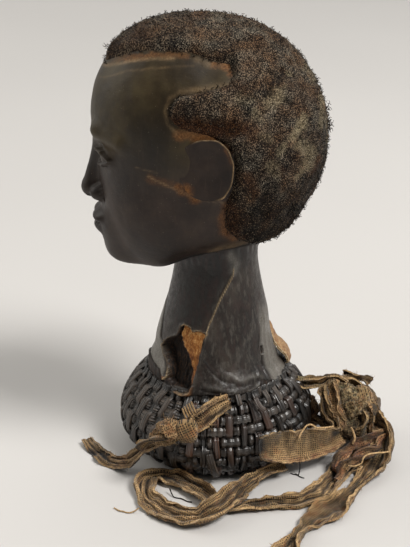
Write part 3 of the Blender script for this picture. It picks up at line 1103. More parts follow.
# Thin places in the hair on the left side: lines of places as (y, z), how wide, how strong
THIN_PLACES = [
    ([(47, 259), (53, 267)], 5.0, 0.95), ([(30, 280), (37, 283)], 6.0, 0.6),
    ([(57, 294), (62, 287)], 4.5, 0.55),
    ([(67, 274), (67, 270)], 3.6, 0.7), ([(66, 268), (65, 260)], 3.6, 0.55),
    ([(71, 260), (71.5, 245)], 3.0, 0.5),
    ([(50, 252), (57, 245), (56, 237)], 6.0, 0.6), ([(56, 237), (49, 231)], 4.0, 0.6),
    ([(20, 276), (24, 270)], 4.0, 0.45),
    ([(32, 243), (35, 236)], 4.5, 0.4), ([(36, 249), (43, 258)], 2.6, 0.5),
    ([(42, 294), (42.5, 293)], 1.6, 0.9),
    ([(26, 262), (31, 258)], 4.0, 0.3), ([(17, 282), (12, 284)], 5.0, 0.3),
]
BROWN_PLACES = [
    ([(6, 291), (14, 288)], 6.0, 0.5), ([(-28, 270), (-8, 267), (12, 266)], 8.0, 0.85),
    ([(12, 266), (22, 262)], 6.0, 0.5),
    ([(17, 238), (21, 226)], 5.0, 0.55), ([(63, 238), (61, 232)], 4.0, 0.6),
    ([(-66, 316), (-50, 320)], 8.0, 0.3),
    ([(-30, 330), (-10, 330)], 9.0, 0.4), ([(8, 215), (8, 200), (14, 190)], 6.0, 0.6),
    ([(34, 243), (38, 236)], 5.0, 0.4),
    ([(46, 285), (52, 280), (56, 276)], 7.0, 0.3), ([(14, 300), (24, 310)], 8.0, 0.2),
]
DARK_PLACES = [
    ([(74, 274), (74, 262)], 6.0, 1.0), ([(44, 247), (41, 240)], 5.0, 0.9),
    ([(27, 259), (27, 252)], 5.0, 0.9),
    ([(60, 218), (72, 236)], 5.0, 0.9), ([(52, 222), (62, 232)], 3.0, 0.6),
    ([(30, 215), (50, 200)], 14.0, 0.6),
    ([(20, 200), (34, 190), (60, 196)], 12.0, 0.8), ([(36, 292), (30, 288)], 5.0, 0.6),
    ([(-76, 306), (-66, 312)], 5.0, 0.7),
    ([(-26, 280), (-14, 280)], 6.0, 0.5),
]
# Spots for curls all round the head, and small tufts off the outline: place, size in millimetres, curls
HAIR_SPOTS = 21600
TUFTS = [((0, 82.5, 254.5), 2.6, 40), ((0, 76.0, 210), 2.4, 30), ((8, -73, 312), 2.2, 26),
         ((4, 77, 267), 3.0, 30)]


def in_places(p, places, seed):
    """How much of a spot is in one of the places, on the left side, or in chance ones on the right."""
    frayed = 2.6 * lumps(p, 4.5, seed, 2)
    drawn = np.maximum.reduce([strength * smooth(width, 0.25 * width, near_line(p[:, 1:], line) + frayed)
                               for line, width, strength in places])
    chance = 0.7 * smooth(0.25, 0.5, lumps(p, 19, seed + 1, 2))
    chance *= smooth(190, 235, p[:, 2]) * smooth(-70, 0, p[:, 1])
    return np.where(p[:, 0] > 0, drawn * smooth(2, 14, p[:, 0] + 2), 0) + chance * smooth(20, -15, p[:, 0])


def hair_marks(p):
    """Shares of bare, brown and light hair at spots on the scalp."""
    bare, brown, dark = (in_places(p, places, 41 + 3 * k)
                         for k, places in enumerate((THIN_PLACES, BROWN_PLACES, DARK_PLACES)))
    streak = lumps_over(p[:, 0] / 2, p[:, 1] - 0.5 * p[:, 2], 0.4 * p[:, 2], 9, 48, 2)
    tone = 0.5 + 0.5 * streak - 0.5 * dark - 0.3 * smooth(232, 200, p[:, 2])
    tone += 0.25 * smooth(240, 290, p[:, 2])
    return bare, brown * (1 - 0.7 * bare), np.clip(tone, 0, 1)


def add_hair_mass(material):
    net, faces = sphere_net(76)
    base = reach(skull, net)
    carved = np.minimum(base, reach(carved_head, net))
    on_skull = HEAD_CENTRE + base[:, None] * net
    edge = hairline(on_skull)
    bare, brown, tone = hair_marks(on_skull)
    clump = lumps(on_skull, 5, 61, 2)
    rise = (hair_depth(on_skull) - 1.6 + 0.9 * clump + 0.5 * lumps(on_skull, 2.4, 63)
            - 1.0 * bare) * smooth(0, 4, edge)
    rise *= 1 - 0.75 * smooth(0.35, 0.8, brown) * smooth(16, 2, on_skull[:, 1])
    radius = np.where(edge > 0, base + rise - 0.4, carved - 2.5)
    points = HEAD_CENTRE + radius[:, None] * net
    marks = {"tone": np.clip(0.7 * tone + 0.25 * clump, 0, 1), "bare": 0.8 * bare, "brown": brown}
    make_piece("hair_mass", points, faces, material, marks=marks, replaces=("hair",))


def hair_roots(rng):
    """Where the curls stand: evenly over the scalp up to the hairline, and in the tufts."""
    k = np.arange(HAIR_SPOTS) + 0.5
    height = 1 - 2 * k / HAIR_SPOTS
    directions = round_axis(np.sqrt(1 - height**2), np.pi * (1 + 5**0.5) * k, height)
    directions = unit(directions + 0.009 * rng.normal(size=(HAIR_SPOTS, 3)))
    root = HEAD_CENTRE + reach(skull, directions)[:, None] * directions
    edge = hairline(root)
    kept = edge > rng.uniform(-1.0, 1.6, HAIR_SPOTS)
    directions, root, edge = directions[kept], root[kept], edge[kept]
    for spot, size, number in TUFTS:
        away = unit(np.array(spot) - HEAD_CENTRE)
        middle = HEAD_CENTRE + (reach(skull, away[None]) + 0.4 * size) * away
        root = np.vstack([root, middle + rng.normal(0, size / 2.2, (number, 3))])
        directions = np.vstack([directions, unit(away + rng.normal(0, 0.5, (number, 3)))])
        edge = np.append(edge, np.full(number, 9.0))
    return directions, root, edge


def add_curls(material):
    """Small coils of hair, leaning each its own way."""
    rng = np.random.default_rng(8)
    directions, root, edge = hair_roots(rng)
    bare, brown, tone = hair_marks(root)
    tone[-sum(number for _, _, number in TUFTS):] = 0
    worn_away = np.maximum(0.6 * bare, 0.85 * smooth(0.3, 0.8, brown) * smooth(16, 2, root[:, 1]))
    kept = rng.uniform(size=len(root)) > worn_away
    directions, root, edge, bare, brown, tone = (values[kept]
                                                 for values in (directions, root, edge, bare, brown, tone))
    count = len(root)
    lean = unit(np.cross(directions, rng.normal(size=(count, 3))))
    axis = unit(directions + lean * rng.uniform(0.3, 1.6, (count, 1)))
    first = unit(np.cross(axis, rng.normal(size=(count, 3))))
    second = np.cross(axis, first)
    stations, sides = 6, 3
    t = np.linspace(0, 1, stations)[None, :, None]
    phase = rng.uniform(0, 2 * np.pi, (count, 1, 1))
    coil = rng.uniform(0.45, 1.1, (count, 1, 1)) * (0.6 + 0.4 * smooth(0, 6, edge))[:, None, None]
    angle = 2 * np.pi * rng.uniform(0.6, 1.2, (count, 1, 1)) * t + phase
    tall = ((hair_depth(root) + rng.normal(0, 0.5, count)) * (0.35 + 0.65 * smooth(0, 7, edge))
            - 1.0 * bare)[:, None, None]
    start = np.maximum(tall - 2.4, -0.2)
    stray = (rng.uniform(size=(count, 1, 1)) < 0.06) * rng.uniform(0.4, 1.6, (count, 1, 1))
    rise = start + (tall - start + stray) * t
    wound = first[:, None] * np.cos(angle) + second[:, None] * np.sin(angle)
    paths = root[:, None] + axis[:, None] * rise + coil * wound - coil * first[:, None] * np.cos(phase)
    thick = rng.uniform(0.2, 0.34, (count, 1)) * (1 - 0.5 * t[..., 0] ** 3)
    lit = rng.uniform(size=count) < 0.1 + 0.34 * tone
    own_tone = np.where(lit, rng.uniform(0.75, 1.0, count), 0.0)
    own_bare = np.clip(bare * rng.uniform(0.0, 1.0, count) + 0.9 * (rng.uniform(size=count) < 0.004), 0, 1)
    own_brown = np.clip(brown * rng.uniform(0.2, 1.0, count), 0, 1)
    lighter = 0.1 + 0.9 * smooth(0.1, 0.9, t[0, :, 0])
    third = np.digitize(root[:, 0], np.quantile(root[:, 0], [1 / 3, 2 / 3]))
    for number, side in enumerate(("right", "middle", "left")):
        mine = third == number
        points, walls, ends = tubes(paths[mine], thick[mine], sides)
        marks = {name: (values[mine, None] * lighter).repeat(sides)
                 for name, values in (("tone", own_tone), ("bare", own_bare), ("brown", own_brown))}
        make_piece("hair_curls_" + side, points, [walls, ends], material, marks=marks)


# The neck, with its skin torn open at the front left

def neck_radius(z):
    return 30.5 + 22.5 * np.clip((155 - z) / 95, 0, 1) ** 1.25


# Places on the neck as (degrees round from +X, height)
TEAR = np.array([(-38, 112), (-42, 110), (-43, 106), (-45, 102.5), (-54, 99), (-62, 94), (-63, 90), (-58, 85),
                 (-52, 82), (-48, 77), (-46, 72), (-49, 67.6), (-43, 65.6), (-34, 64.5), (-27, 64.6),
                 (-22, 66.6), (-20, 71), (-19, 77), (-17, 86), (-16, 94), (-13, 102), (-10.5, 108.5),
                 (-19, 109.6), (-27, 108.7), (-30, 111)], float)
FIBRES = np.array([(-38, 111.5), (-31, 110.6), (-27, 108), (-19, 109), (-11.5, 107.8), (-13.5, 102),
                   (-16, 94), (-17.5, 86), (-19.3, 77), (-20.5, 70.5), (-22.5, 75), (-22, 81), (-26, 87),
                   (-31, 93), (-37, 98), (-38, 101), (-41, 104)], float)
SEAM = [(23, 155), (22, 150), (17, 145.8), (10, 139), (3, 132), (-6, 118.4), (-8, 116), (-11, 108.7)]
# The same seam as heights and degrees, for what lies to its left
SEAM_SIDE = np.array([(109, -11), (116, -8), (118.4, -6), (132, 3), (139, 10), (145.8, 17), (150, 22),
                      (155, 23)])
FLAP = [(-95, 123), (-86, 114), (-79, 108), (-74, 103), (-71, 98), (-69, 94.6), (-63, 92.6)]
SLIT = [(52.4, 91.2), (51.8, 87.4)]
# The pale plate of skin to the left of the flap ends here: heights and degrees
PLATE = np.array([(66, -48.5), (77, -49.5), (83, -55), (92.6, -63), (94.6, -69), (98, -71), (103, -74),
                  (108, -79), (114, -86), (123, -95)])
# The skin's lower edge over the cap, and lines along which the skin is folded: (line, width, how high)
HEM = np.array([(-180, 63), (-130, 65), (-110, 69), (-95, 74), (-80, 76), (-66, 75), (-56, 73), (-51, 70.6),
                (-45, 67.5), (-35, 64.2), (-24, 63), (-17, 64.6), (-4, 65.4), (9, 65.6), (22, 65.5),
                (31, 65.8), (37, 66.6), (39.5, 70), (42, 70), (45, 67.6), (51, 66.8), (57, 64), (62, 61.5),
                (68, 63.5), (74, 62), (90, 64), (120, 63), (180, 63)])
FOLDS = [
    ([(-16, 94), (-11, 89.4), (-5, 84.2), (0, 80)], 0.7, 0.35),
    ([(-12, 88), (-5, 81.8), (4, 75.8), (14, 73.6)], 1.2, -0.5),
    ([(0, 84), (9, 79.5), (16, 77)], 2.0, 0.3), ([(16, 76), (22, 74.6), (29, 75.4), (38, 74.2)], 1.5, 0.7),
    ([(10, 72), (20, 71), (30, 71.3), (38, 70.5)], 1.4, -0.5), ([(26, 66.5), (33, 67), (40, 69.5)], 1.2, 0.6),
    ([(-10, 73), (2, 70.5), (14, 68)], 1.4, 0.5), ([(-12, 69), (0, 67.6), (12, 67.6)], 0.9, -0.5),
    ([(58, 112), (55, 104), (51, 92), (50, 86), (48, 76), (46, 67)], 0.9, -1.3),
    ([(54, 108), (51, 99), (48, 92)], 0.9, 0.5),
    ([(64, 112), (62, 98), (60, 84), (58, 66)], 1.6, 0.9), ([(72, 96), (70, 80), (66, 64)], 1.3, 1.1),
    ([(78, 92), (76, 78), (73, 64)], 1.2, -1.0), ([(30, 118), (26, 104), (22, 92)], 3.0, 0.5),
    ([(8, 112), (6, 98)], 3.0, -0.4),
    ([(-150, 90), (-135, 78), (-118, 74)], 1.6, 0.9), ([(100, 88), (118, 76), (140, 72)], 1.6, 1.0),
    ([(150, 96), (160, 80), (172, 70)], 1.6, -0.9), ([(-172, 84), (-160, 74)], 1.5, 0.9),
]


def on_skin(places):
    """Degrees and heights turned into millimetres on the skin laid flat."""
    q = np.array(places, float)
    return np.stack([np.radians(q[:, 0]) * neck_radius(q[:, 1]), q[:, 1]], -1)


def neck_paint():
    """Dark hide with long streaks, raw and pale where it is worn, over a torn hollow with long fibres."""
    paint = Paint("neck_leather", Specular_IOR_Level=0.45, Coat_Weight=0.08, Coat_Roughness=0.3)
    grain = paint.noise(1.2, detail=5, rough=0.65)
    streaks = paint.drawn_noise(3.4, 0.23, 4, 0.65)
    fibre = paint.drawn_noise(1.5, 0.33, 5, 0.75)
    blotch = paint.noise(6, detail=4, rough=0.65)
    tan = paint.mix(paint.sum("ADD", paint.mark("light"), paint.ramp(blotch, (0.36, -0.5), (0.6, 0.5))),
                    paint.ramp(fibre, (0.34, 54, 26, 9), (0.5, 104, 56, 21), (0.66, 148, 92, 42)),
                    paint.ramp(fibre, (0.34, 108, 60, 22), (0.5, 152, 98, 44), (0.66, 206, 162, 104)))
    colour = paint.coats(
        paint.ramp(paint.drawn_noise(26, 0.6, 4, 0.6), (0.34, 20, 15, 12), (0.5, 38, 32, 28),
                   (0.68, 64, 57, 50)),
        (paint.ramp(streaks, (0.5, 0.0), (0.64, 0.5)), shade(50, 34, 30)),
        (paint.ramp(streaks, (0.36, 0.5), (0.48, 0.0)), shade(84, 79, 73)),
        (paint.ramp(paint.noise(5, detail=4, rough=0.7), (0.52, 0.0), (0.76, 0.3)), shade(86, 78, 68)),
        (paint.mark("shade"), paint.ramp(streaks, (0.44, 9, 7, 6), (0.62, 34, 17, 12))),
        (paint.mark("pale"), paint.ramp(grain, (0.3, 112, 108, 100), (0.7, 158, 154, 146))),
        (paint.mark("tan"), tan),
        (paint.mark("dark"), paint.ramp(fibre, (0.36, 9, 6, 4), (0.5, 30, 20, 13), (0.68, 76, 52, 32))),
        (paint.mark("raw"), paint.ramp(grain, (0.35, 126, 96, 60), (0.65, 206, 186, 150))))
    covered = paint.sum("MAXIMUM", paint.mark("tan"),
                        paint.sum("MAXIMUM", paint.mark("dark"), paint.mark("raw")))
    crumple = paint.noise(3.5, detail=3, rough=0.6)
    rough = paint.mix(covered, paint.ramp(crumple, (0.35, 0.36), (0.65, 0.58)), grey(0.85))
    normal = paint.bump(crumple, 0.35, 0.9, paint.bump(fibre, 0.15, 0.8, paint.bump(grain, 0.4, 0.4)))
    return paint.wear(Base_Color=colour, Roughness=rough, Normal=normal)


def hide_curl():
    """A stiff tongue of skin that stands off the neck's foot at the back left and curls down again."""
    spine = smooth_path([(0, 37, 100), (0, 41.4, 95), (0, 44.5, 88), (0, 48, 82), (0, 52.5, 78), (0, 56, 72),
                         (0, 57, 67), (0, 54.5, 64)], 1.0)
    rows, columns = len(spine), 22
    v = np.linspace(-1, 1, columns)[None]
    share = np.linspace(0, 1, rows)[:, None]
    half = 3 + 8.5 * smooth(0, 0.6, share) - 2 * smooth(0.8, 1, share)
    normal = unit(np.cross(np.gradient(spine, axis=0), [-1.0, 0, 0]))
    sheet = spine[:, None] + normal[:, None] * (-2.4 * v[..., None] ** 2)
    sheet[..., 0] += -7 + half * v
    sheet += normal[:, None] * (0.7 * lumps(sheet, 5, 85, 2) + 0.5 * lumps(sheet, 2, 86))[..., None]
    edge = np.maximum(smooth(0.84, 1, np.abs(v)) * np.ones_like(share),
                      smooth(0.9, 1, share) * np.ones_like(v)).ravel()
    points = np.vstack([(sheet + normal[:, None] * side).reshape(-1, 3) for side in (0.6, -0.6)])
    worn = 0.5 + 0.5 * lumps(points, 4, 87, 2)
    marks = {"tan": np.clip(0.5 + 0.4 * worn, 0, 1), "light": 1.0, "dark": 0.0, "pale": 0.35, "shade": 0.0,
             "raw": np.clip(np.tile(edge, 2) * 0.9 + 0.9 * worn - 0.15, 0, 1)}
    return points, sheet_faces(rows, columns)[:, ::-1], marks


def add_neck():
    degrees = np.concatenate([np.arange(-180, -100, 1.6), np.arange(-100, -8, 0.52), np.arange(-8, 76, 0.8),
                              np.arange(76, 180, 1.6)])
    heights = np.concatenate([np.arange(60.4, 84, 0.56), np.arange(84, 114, 0.66), np.arange(114, 176, 1.9)])
    a, z = np.meshgrid(degrees, heights)
    # Below a height the rows are drawn together towards the skin's ragged lower edge
    hem = np.interp(a, *HEM.T) + 0.35 * lumps_over(a / 3, 0 * a, 0 * a, 1.0, 81, 2)
    z = np.where(z < 84, 84 - (84 - z) * (84 - hem) / (84 - heights[0]), z)
    a, z, hem = a.ravel(), z.ravel(), hem.ravel()
    q = on_skin(np.stack([a, z], -1))
    angle = np.radians(a)
    front, rear = -np.sin(angle), np.sin(angle)
    around = round_axis(50, angle, z)
    torn_edge = q + 0.45 * np.stack([lumps(around, 2.5, 71), lumps(around, 2.5, 72)], -1)
    fibre_edge = q + 0.7 * np.stack([lumps(around, 2.0, 73), lumps(around, 3.5, 74)], -1)
    torn, fibres = inside_outline(torn_edge, on_skin(TEAR)), inside_outline(fibre_edge, on_skin(FIBRES))
    low = smooth(108, 64, z)
    wrinkled = lumps(around * [0.6, 0.6, 1.5], 8, 75, 3)
    crisp = sum(high * bell(near_line(q, on_skin(line)), width) for line, width, high in FOLDS)
    above_hem = z - hem
    off_seam, off_flap, off_slit = (near_line(q, on_skin(line)) for line in (SEAM, FLAP, SLIT))
    beside = np.interp(z, SEAM_SIDE[:, 0], np.radians(SEAM_SIDE[:, 1])) * neck_radius(z) - q[:, 0]
    plate = smooth(0, -2.5, a - np.interp(z, *PLATE.T)) * smooth(-122, -104, a) * smooth(128, 114, z)
    lip = smooth(-55, -50, a) * smooth(-18, -22, a) * smooth(3.6, 1.0, -torn) * (torn < 0) * (z < 71.5)

    r = neck_radius(z) * (1 + 0.012 * np.sin(5 * angle + 1) * low) + low * 0.7 * wrinkled
    r += 0.35 * lumps(around, 16, 76, 2) + 0.4 * smooth(92, 76, z) * lumps(around, 3.4, 83, 2)
    r += 0.8 * smooth(0.2, 0.9, front) * smooth(122, 100, z) * smooth(82, 96, z)
    r -= 2.6 * smooth(0.3, 0.9, rear) * smooth(116, 88, z)
    sideways = smooth(0.3, 0.9, np.abs(rear))
    folded_foot = smooth(20 - 9 * sideways, 2 - 2 * sideways, above_hem)
    r += (3.9 - 2.6 * smooth(0.4, 0.9, front)) * folded_foot - 0.9 * smooth(1.4, 0, above_hem)
    r += crisp
    r += 0.9 * bell(off_seam, 0.6)
    r -= 0.8 * smooth(0, 1.2, beside) * smooth(60, 20, beside) * smooth(104, 114, z) * smooth(166, 156, z)
    r += 0.7 * plate - 1.3 * bell(off_flap, 0.8)
    r += 0.9 * bell(off_slit - 1.7, 0.7) - 2.6 * smooth(1.3, 0.4, off_slit)
    throat = smooth(12, 0, np.abs(z - 166 - 6 * rear))
    r += 0.3 * throat * np.sin(0.9 * q[:, 0] + 2 * lumps(around, 12, 78))
    r += 0.6 * smooth(1.8, 0.2, -torn) * (torn < 0) + 2.4 * lip
    # Inside the tear the surface drops, deeper where no fibres lie, and raggedly at its upper right
    strands = lumps(around * [1, 1, 0.22], 1.6, 79, 2)
    ragged = smooth(-30, -20, a) * smooth(66, 74, z)
    deep = np.where(fibres > -0.4, 1.3 + 0.5 * strands, 9.0 + 0.9 * strands)
    shelf = 0.35 * (1 - ragged)
    sunk = shelf * smooth(0, 0.3, torn) + deep * smooth(shelf, 1.0 + 1.4 * ragged, torn)
    r = np.where(torn > 0, r - sunk, r)
    surface = round_axis(r, angle, z)

    # The hem is doubled back under itself and on to the post
    columns = len(degrees)
    edge, turn = surface[:columns], round_axis(1, angle[:columns], 0)
    under = edge - 1.3 * turn + [0, 0, 0.5]
    tucked = 51.6 * turn + edge * [0, 0, 1] + [0, 0, 1.5]
    foot = 52.4 * turn + [0, 0, 60.4]
    points = np.vstack([foot, tucked, under, surface, [(0, 0, 60.4)], [(0, 0, heights[-1])]])
    rows = len(heights) + 3
    middle = len(points) - 2
    ring = np.arange(columns)
    after, top = np.roll(ring, -1), (rows - 1) * columns
    ends = np.vstack([np.stack([after, ring, np.full(columns, middle)], -1),
                      np.stack([ring + top, after + top, np.full(columns, middle + 1)], -1)])

    fibrous = smooth(-0.3, 0.6, fibres)
    light = 0.15 + 0.6 * smooth(86, 108, z) - 0.35 * smooth(88, 70, z)
    raw = bell(torn + 0.25, 0.36) * np.clip(0.45 + 0.5 * lumps(around, 3, 80), 0, 1)
    raw *= 1 - 0.8 * smooth(-70, -50, a) * smooth(74, 80, z) * smooth(-40, -44, a)
    raw *= 1 - smooth(-24, -19, a) * smooth(106, 102, z) * smooth(66, 70, z)
    raw_corner = near_line(q, on_skin([(-53, 69.5), (-50, 70.2), (-47, 69.2)]))
    raw = np.maximum.reduce([raw, 0.75 * bell(off_seam, 0.45), 0.9 * bell(raw_corner, 0.7)])
    tan = np.maximum(fibrous * (torn > 0.2), 0.8 * lip * (0.8 + 0.4 * lumps(around, 3, 82)))
    joint = near_line(surface[:, 1:], JUNCTION) + 9 * (surface[:, 0] < 0)
    shaded_joint = smooth(1.0, 0.5, joint + 0.3 * lumps(surface, 5, 88))
    dark = np.maximum.reduce([smooth(0.0, 0.3, torn) * (1 - fibrous), smooth(1.5, 0.7, off_slit),
                              0.9 * bell(off_flap, 0.6), 0.5 * smooth(0.9, 0, above_hem), shaded_joint])
    pale = 0.55 * plate + 0.48 * smooth(50, 56, a) * smooth(95, 70, a) * smooth(128, 104, z)
    pale = np.maximum(pale, 0.3 * np.clip(crisp, 0, 1) * low) + 0.12 * smooth(0.1, 0.8, wrinkled) * low
    pale_throat = near_line(q, on_skin([(19, 165), (27, 158), (24, 153)]))
    pale = np.maximum.reduce([pale, 0.5 * bell(off_slit - 1.6, 0.5), 0.5 * bell(pale_throat, 3.2)])
    shadow = 0.78 * smooth(-2, 8, beside) * smooth(62, 40, beside) * smooth(102, 118, z)
    shadow += 0.35 * smooth(150, 164, z) + 0.5 * np.clip(-crisp, 0, 1) * low
    doubled = np.zeros(3 * columns)
    marks = {name: np.concatenate([doubled + start, np.clip(value, 0, 1), [start, start]])
             for name, value, start in (("tan", tan, 0), ("light", light, 0), ("dark", dark, 0.7),
                                        ("raw", raw, 0), ("pale", pale, 0), ("shade", shadow, 0.5))}
    curl_points, curl_faces, curl_marks = hide_curl()
    marks = {name: np.append(values, np.broadcast_to(curl_marks[name], len(curl_points)))
             for name, values in marks.items()}
    faces = [grid_faces(rows, columns, closed=True), ends, curl_faces + len(points)]
    make_piece("neck_skin_torn", np.vstack([points, curl_points]), faces, neck_paint(),
               marks=marks, replaces=("neck",))


# The plaited cap: corded weft rows with upright strips that pass over two rows and under one

CAP_ROWS = 10
CAP_STRANDS = 44
CAP_SPOTS = 1000
WEFT_TURNS = 88
LINING_STEPS = 176
# The hollow for the wearer's head from its foot up, as (radius, height)
CAP_INSIDE = [(46.5, 0.4), (53, 7), (59, 15), (61.5, 26), (56.5, 36), (42.5, 46), (22, 50.8), (0.5, 51.2)]
# Loose ends of cane: places, the way they face, half width, how brown, how dull
LOOSE_ENDS = [
    ([(54, 15, 67), (57, 16, 63.5), (58.5, 17, 60.5)], (0.9, 0.2, 0.5), 2.0, 0.3, 1.0),
    ([(50, 34, 68), (53, 37, 64), (54, 38, 60)], (0.8, 0.6, 0.5), 2.2, 0.3, 1.0),
    ([(46, 41, 69), (48, 44, 65), (50, 47, 60)], (0.7, 0.7, 0.5), 2.2, 0.2, 1.0),
    ([(56, 28, 65), (59, 31, 60), (59.5, 35, 57)], (0.9, 0.4, 0.5), 1.8, 0.6, 0.6),
    ([(74.5, -5.6, 29), (75.5, -3.8, 21), (73, -1.6, 13), (69.5, -0.2, 7.5)], (1, -0.1, 0.2), 2.8, 0.3, 1.0),
]


def cane_paint(name, dark, light):
    """Split cane: dark and glossy, or grey-brown with fine lengthwise lines where the matte mark is high."""
    paint = Paint(name, Specular_IOR_Level=1.0)
    lines = paint.noise(1, paint.stretched(paint.cloth_place(), (1.9, 0.06, 1)), 3, 0.6)
    broad = paint.noise(13, detail=3)
    across = paint.node("ShaderNodeSeparateXYZ", {"Vector": paint.cloth_place()}).outputs["X"]
    waves = paint.sum("COSINE", paint.sum("MULTIPLY", across, 3.5))
    waves = paint.sum("MULTIPLY", waves, paint.mark("split"))
    colour = paint.coats(
        paint.mix(paint.mark("tone"), dark, light),
        (paint.ramp(broad, (0.4, 0.0), (0.7, 0.45)), shade(28, 26, 25)),
        (paint.ramp(lines, (0.5, 0.0), (0.7, 0.3)), shade(92, 80, 70)),
        (paint.mark("matte"), paint.ramp(lines, (0.34, 22, 17, 13), (0.5, 47, 37, 29), (0.66, 94, 79, 64))),
        (paint.ramp(waves, (0.25, 0.0), (0.9, 0.75)), shade(14, 11, 9)),
        (paint.mark("dirt"), shade(6, 5, 4)))
    rough = paint.mix(paint.mark("matte"), paint.ramp(broad, (0.3, 0.3), (0.7, 0.42)),
                      paint.ramp(lines, (0.3, 0.5), (0.7, 0.7)))
    streaky = paint.sum("ADD", paint.sum("MULTIPLY", paint.mark("matte"), 0.8), 0.2)
    streaky = paint.sum("MULTIPLY", lines, streaky)
    normal = paint.bump(waves, 0.7, -0.45, paint.bump(streaky, 0.35, 0.4))
    return paint.wear(Base_Color=colour, Roughness=rough, Normal=normal)


def cap_line():
    """Even places on the cap's section from its foot up, as (radius, height), and the ways out and up."""
    fine = smooth_path(np.column_stack([CAP_PROFILE, np.zeros(len(CAP_PROFILE))]), 0.5)[:, :2]
    along = length_along(fine)
    spots = np.linspace(0, along[-1], CAP_SPOTS)
    line = np.stack([np.interp(spots, along, fine[:, k]) for k in (0, 1)], -1)
    slope = unit(np.gradient(line, axis=0))
    return line, np.stack([slope[:, 1], -slope[:, 0]], -1), slope


CAP_LINE = cap_line()


def cap_strand(share, angle, tall, deep, along=None):
    """Places on a strand at shares of the cap's height. Its section reaches so far up the cap, outward and,
    where the strand runs upward, along the cap."""
    x, spots = np.clip(share, 0, 1) * (CAP_SPOTS - 1), np.arange(CAP_SPOTS)
    centre, out, up = (np.stack([np.interp(x, spots, values[:, k]) for k in (0, 1)], -1)[:, None]
                       for values in CAP_LINE)
    spot = centre + up * tall[..., None] + out * deep[..., None]
    turn = angle[:, None] if along is None else angle[:, None] + along / spot[..., 0]
    return round_axis(spot[..., 0], turn, np.maximum(spot[..., 1], 0.3)).reshape(-1, 3)


def matte_at(angle):
    """How dull and grey-brown the cane is on a side of the cap: at the left of the photograph, and behind."""
    return np.maximum(smooth(-0.12, -0.6, angle) * smooth(-2.9, -2.3, angle),
                      0.35 * smooth(2.0, 2.6, np.abs(angle)))


def slat(path, outward, half, thick, tone, matte, seed):
    """A loose flat end of cane along a path."""
    path = smooth_path(path, 1.0)
    rows, around = len(path), 8
    along = unit(np.gradient(path, axis=0))
    outward = np.broadcast_to(unit(np.array(outward, float)), along.shape)
    side = unit(np.cross(along, outward))
    outward = np.cross(side, along)
    section = np.linspace(0, 2 * np.pi, around, endpoint=False) + np.pi / 8
    wide = half * (1 + 0.12 * lumps(path, 5, seed))[:, None] * signed_power(np.cos(section), 0.6)
    deep = thick * np.sin(section)
    points = path[:, None] + side[:, None] * wide[..., None] + outward[:, None] * deep[..., None]
    points = points.reshape(-1, 3)
    marks = {"tone": tone, "dirt": 0.0, "matte": matte, "split": 0.6, "across": wide.ravel(),
             "lengthwise": np.repeat(np.arange(rows) * 1.0 + 31 * seed, around)}
    return points, rod_faces(rows, around), marks


def dark_hollow(points):
    """The black place behind the band, on the left side, and the shadowed foot."""
    angle, z = np.degrees(np.arctan2(points[:, 1], points[:, 0])), points[:, 2]
    left_foot = smooth(-14, -34, angle) * smooth(-150, -120, angle) * smooth(34, 14, z)
    return 0.9 * bell(angle - 62, 10) * bell(z - 40, 11) + 0.5 * smooth(9, 1, z) + 0.5 * left_foot


def add_weft(material):
    """Rows round the cap with bead-like turns, sunk where an upright passes over them."""
    across, stations = 10, 520
    a = np.linspace(-np.pi, np.pi, stations, endpoint=False)
    place = a / (2 * np.pi) * CAP_STRANDS
    strand = np.round(place)
    section = np.linspace(-np.pi / 2, 1.5 * np.pi, across, endpoint=False)
    matte = matte_at(a)
    # The turns are wider at the front right, and a whole number of them goes round
    spacing = np.cumsum(1 - 0.36 * smooth(0.15, 0.5, a) * smooth(1.6, 1.1, a))
    beads = spacing / spacing[-1] * WEFT_TURNS * np.pi
    low_side = np.tile(smooth(0.7, 1.0, np.abs(np.cos(section))), stations)
    parts = []
    for row in range(CAP_ROWS):
        tucked = 1 - 0.75 * (row == CAP_ROWS - 1)
        beneath = ((strand + row) % 3 != 0) * smooth(0.42, 0.12, np.abs(place - strand))
        circle = round_axis(60, a, row * 19)
        wobble, swollen = lumps(circle, 12, 90 + row), lumps(circle, 17, 120 + row)
        ridge = np.abs(np.sin(beads + 1.7 * row + 1.1 * lumps(circle, 15, 140)))
        swell = (1 - (0.3 - 0.24 * matte) * (1 - ridge**0.6)) * (1 + 0.08 * swollen)
        lift = (-1.6 - 2.0 * beneath + (0.6 + 0.5 * swollen) * (1 - beneath)) * tucked - 1.5 * (1 - tucked)
        tall = 4.25 * swell[:, None] * signed_power(np.cos(section), 0.9)
        deep = (3.3 - 1.1 * matte)[:, None] * swell[:, None] * np.sin(section) * tucked + lift[:, None]
        points = cap_strand((row + 0.5) / CAP_ROWS + wobble * 0.005, a, tall, deep)
        dirt = np.repeat(0.9 * (1 - ridge) ** 2.5 * (1 - 0.8 * matte) + 0.4 * beneath, across)
        marks = {"tone": np.clip(0.3 + 0.4 * lumps(points, 8, 95), 0, 1), "matte": np.repeat(matte, across),
                 "split": np.repeat(0.15 + 0.55 * matte, across),
                 "dirt": np.clip(dirt + 0.5 * low_side + dark_hollow(points), 0, 1),
                 "across": np.tile(3.4 * section, stations),
                 "lengthwise": np.repeat(68 * a + 97 * row, across)}
        parts.append((points, ring_faces(stations, across), marks))
    striped_piece("cap_weft", parts, material, ("plaited_cap",))


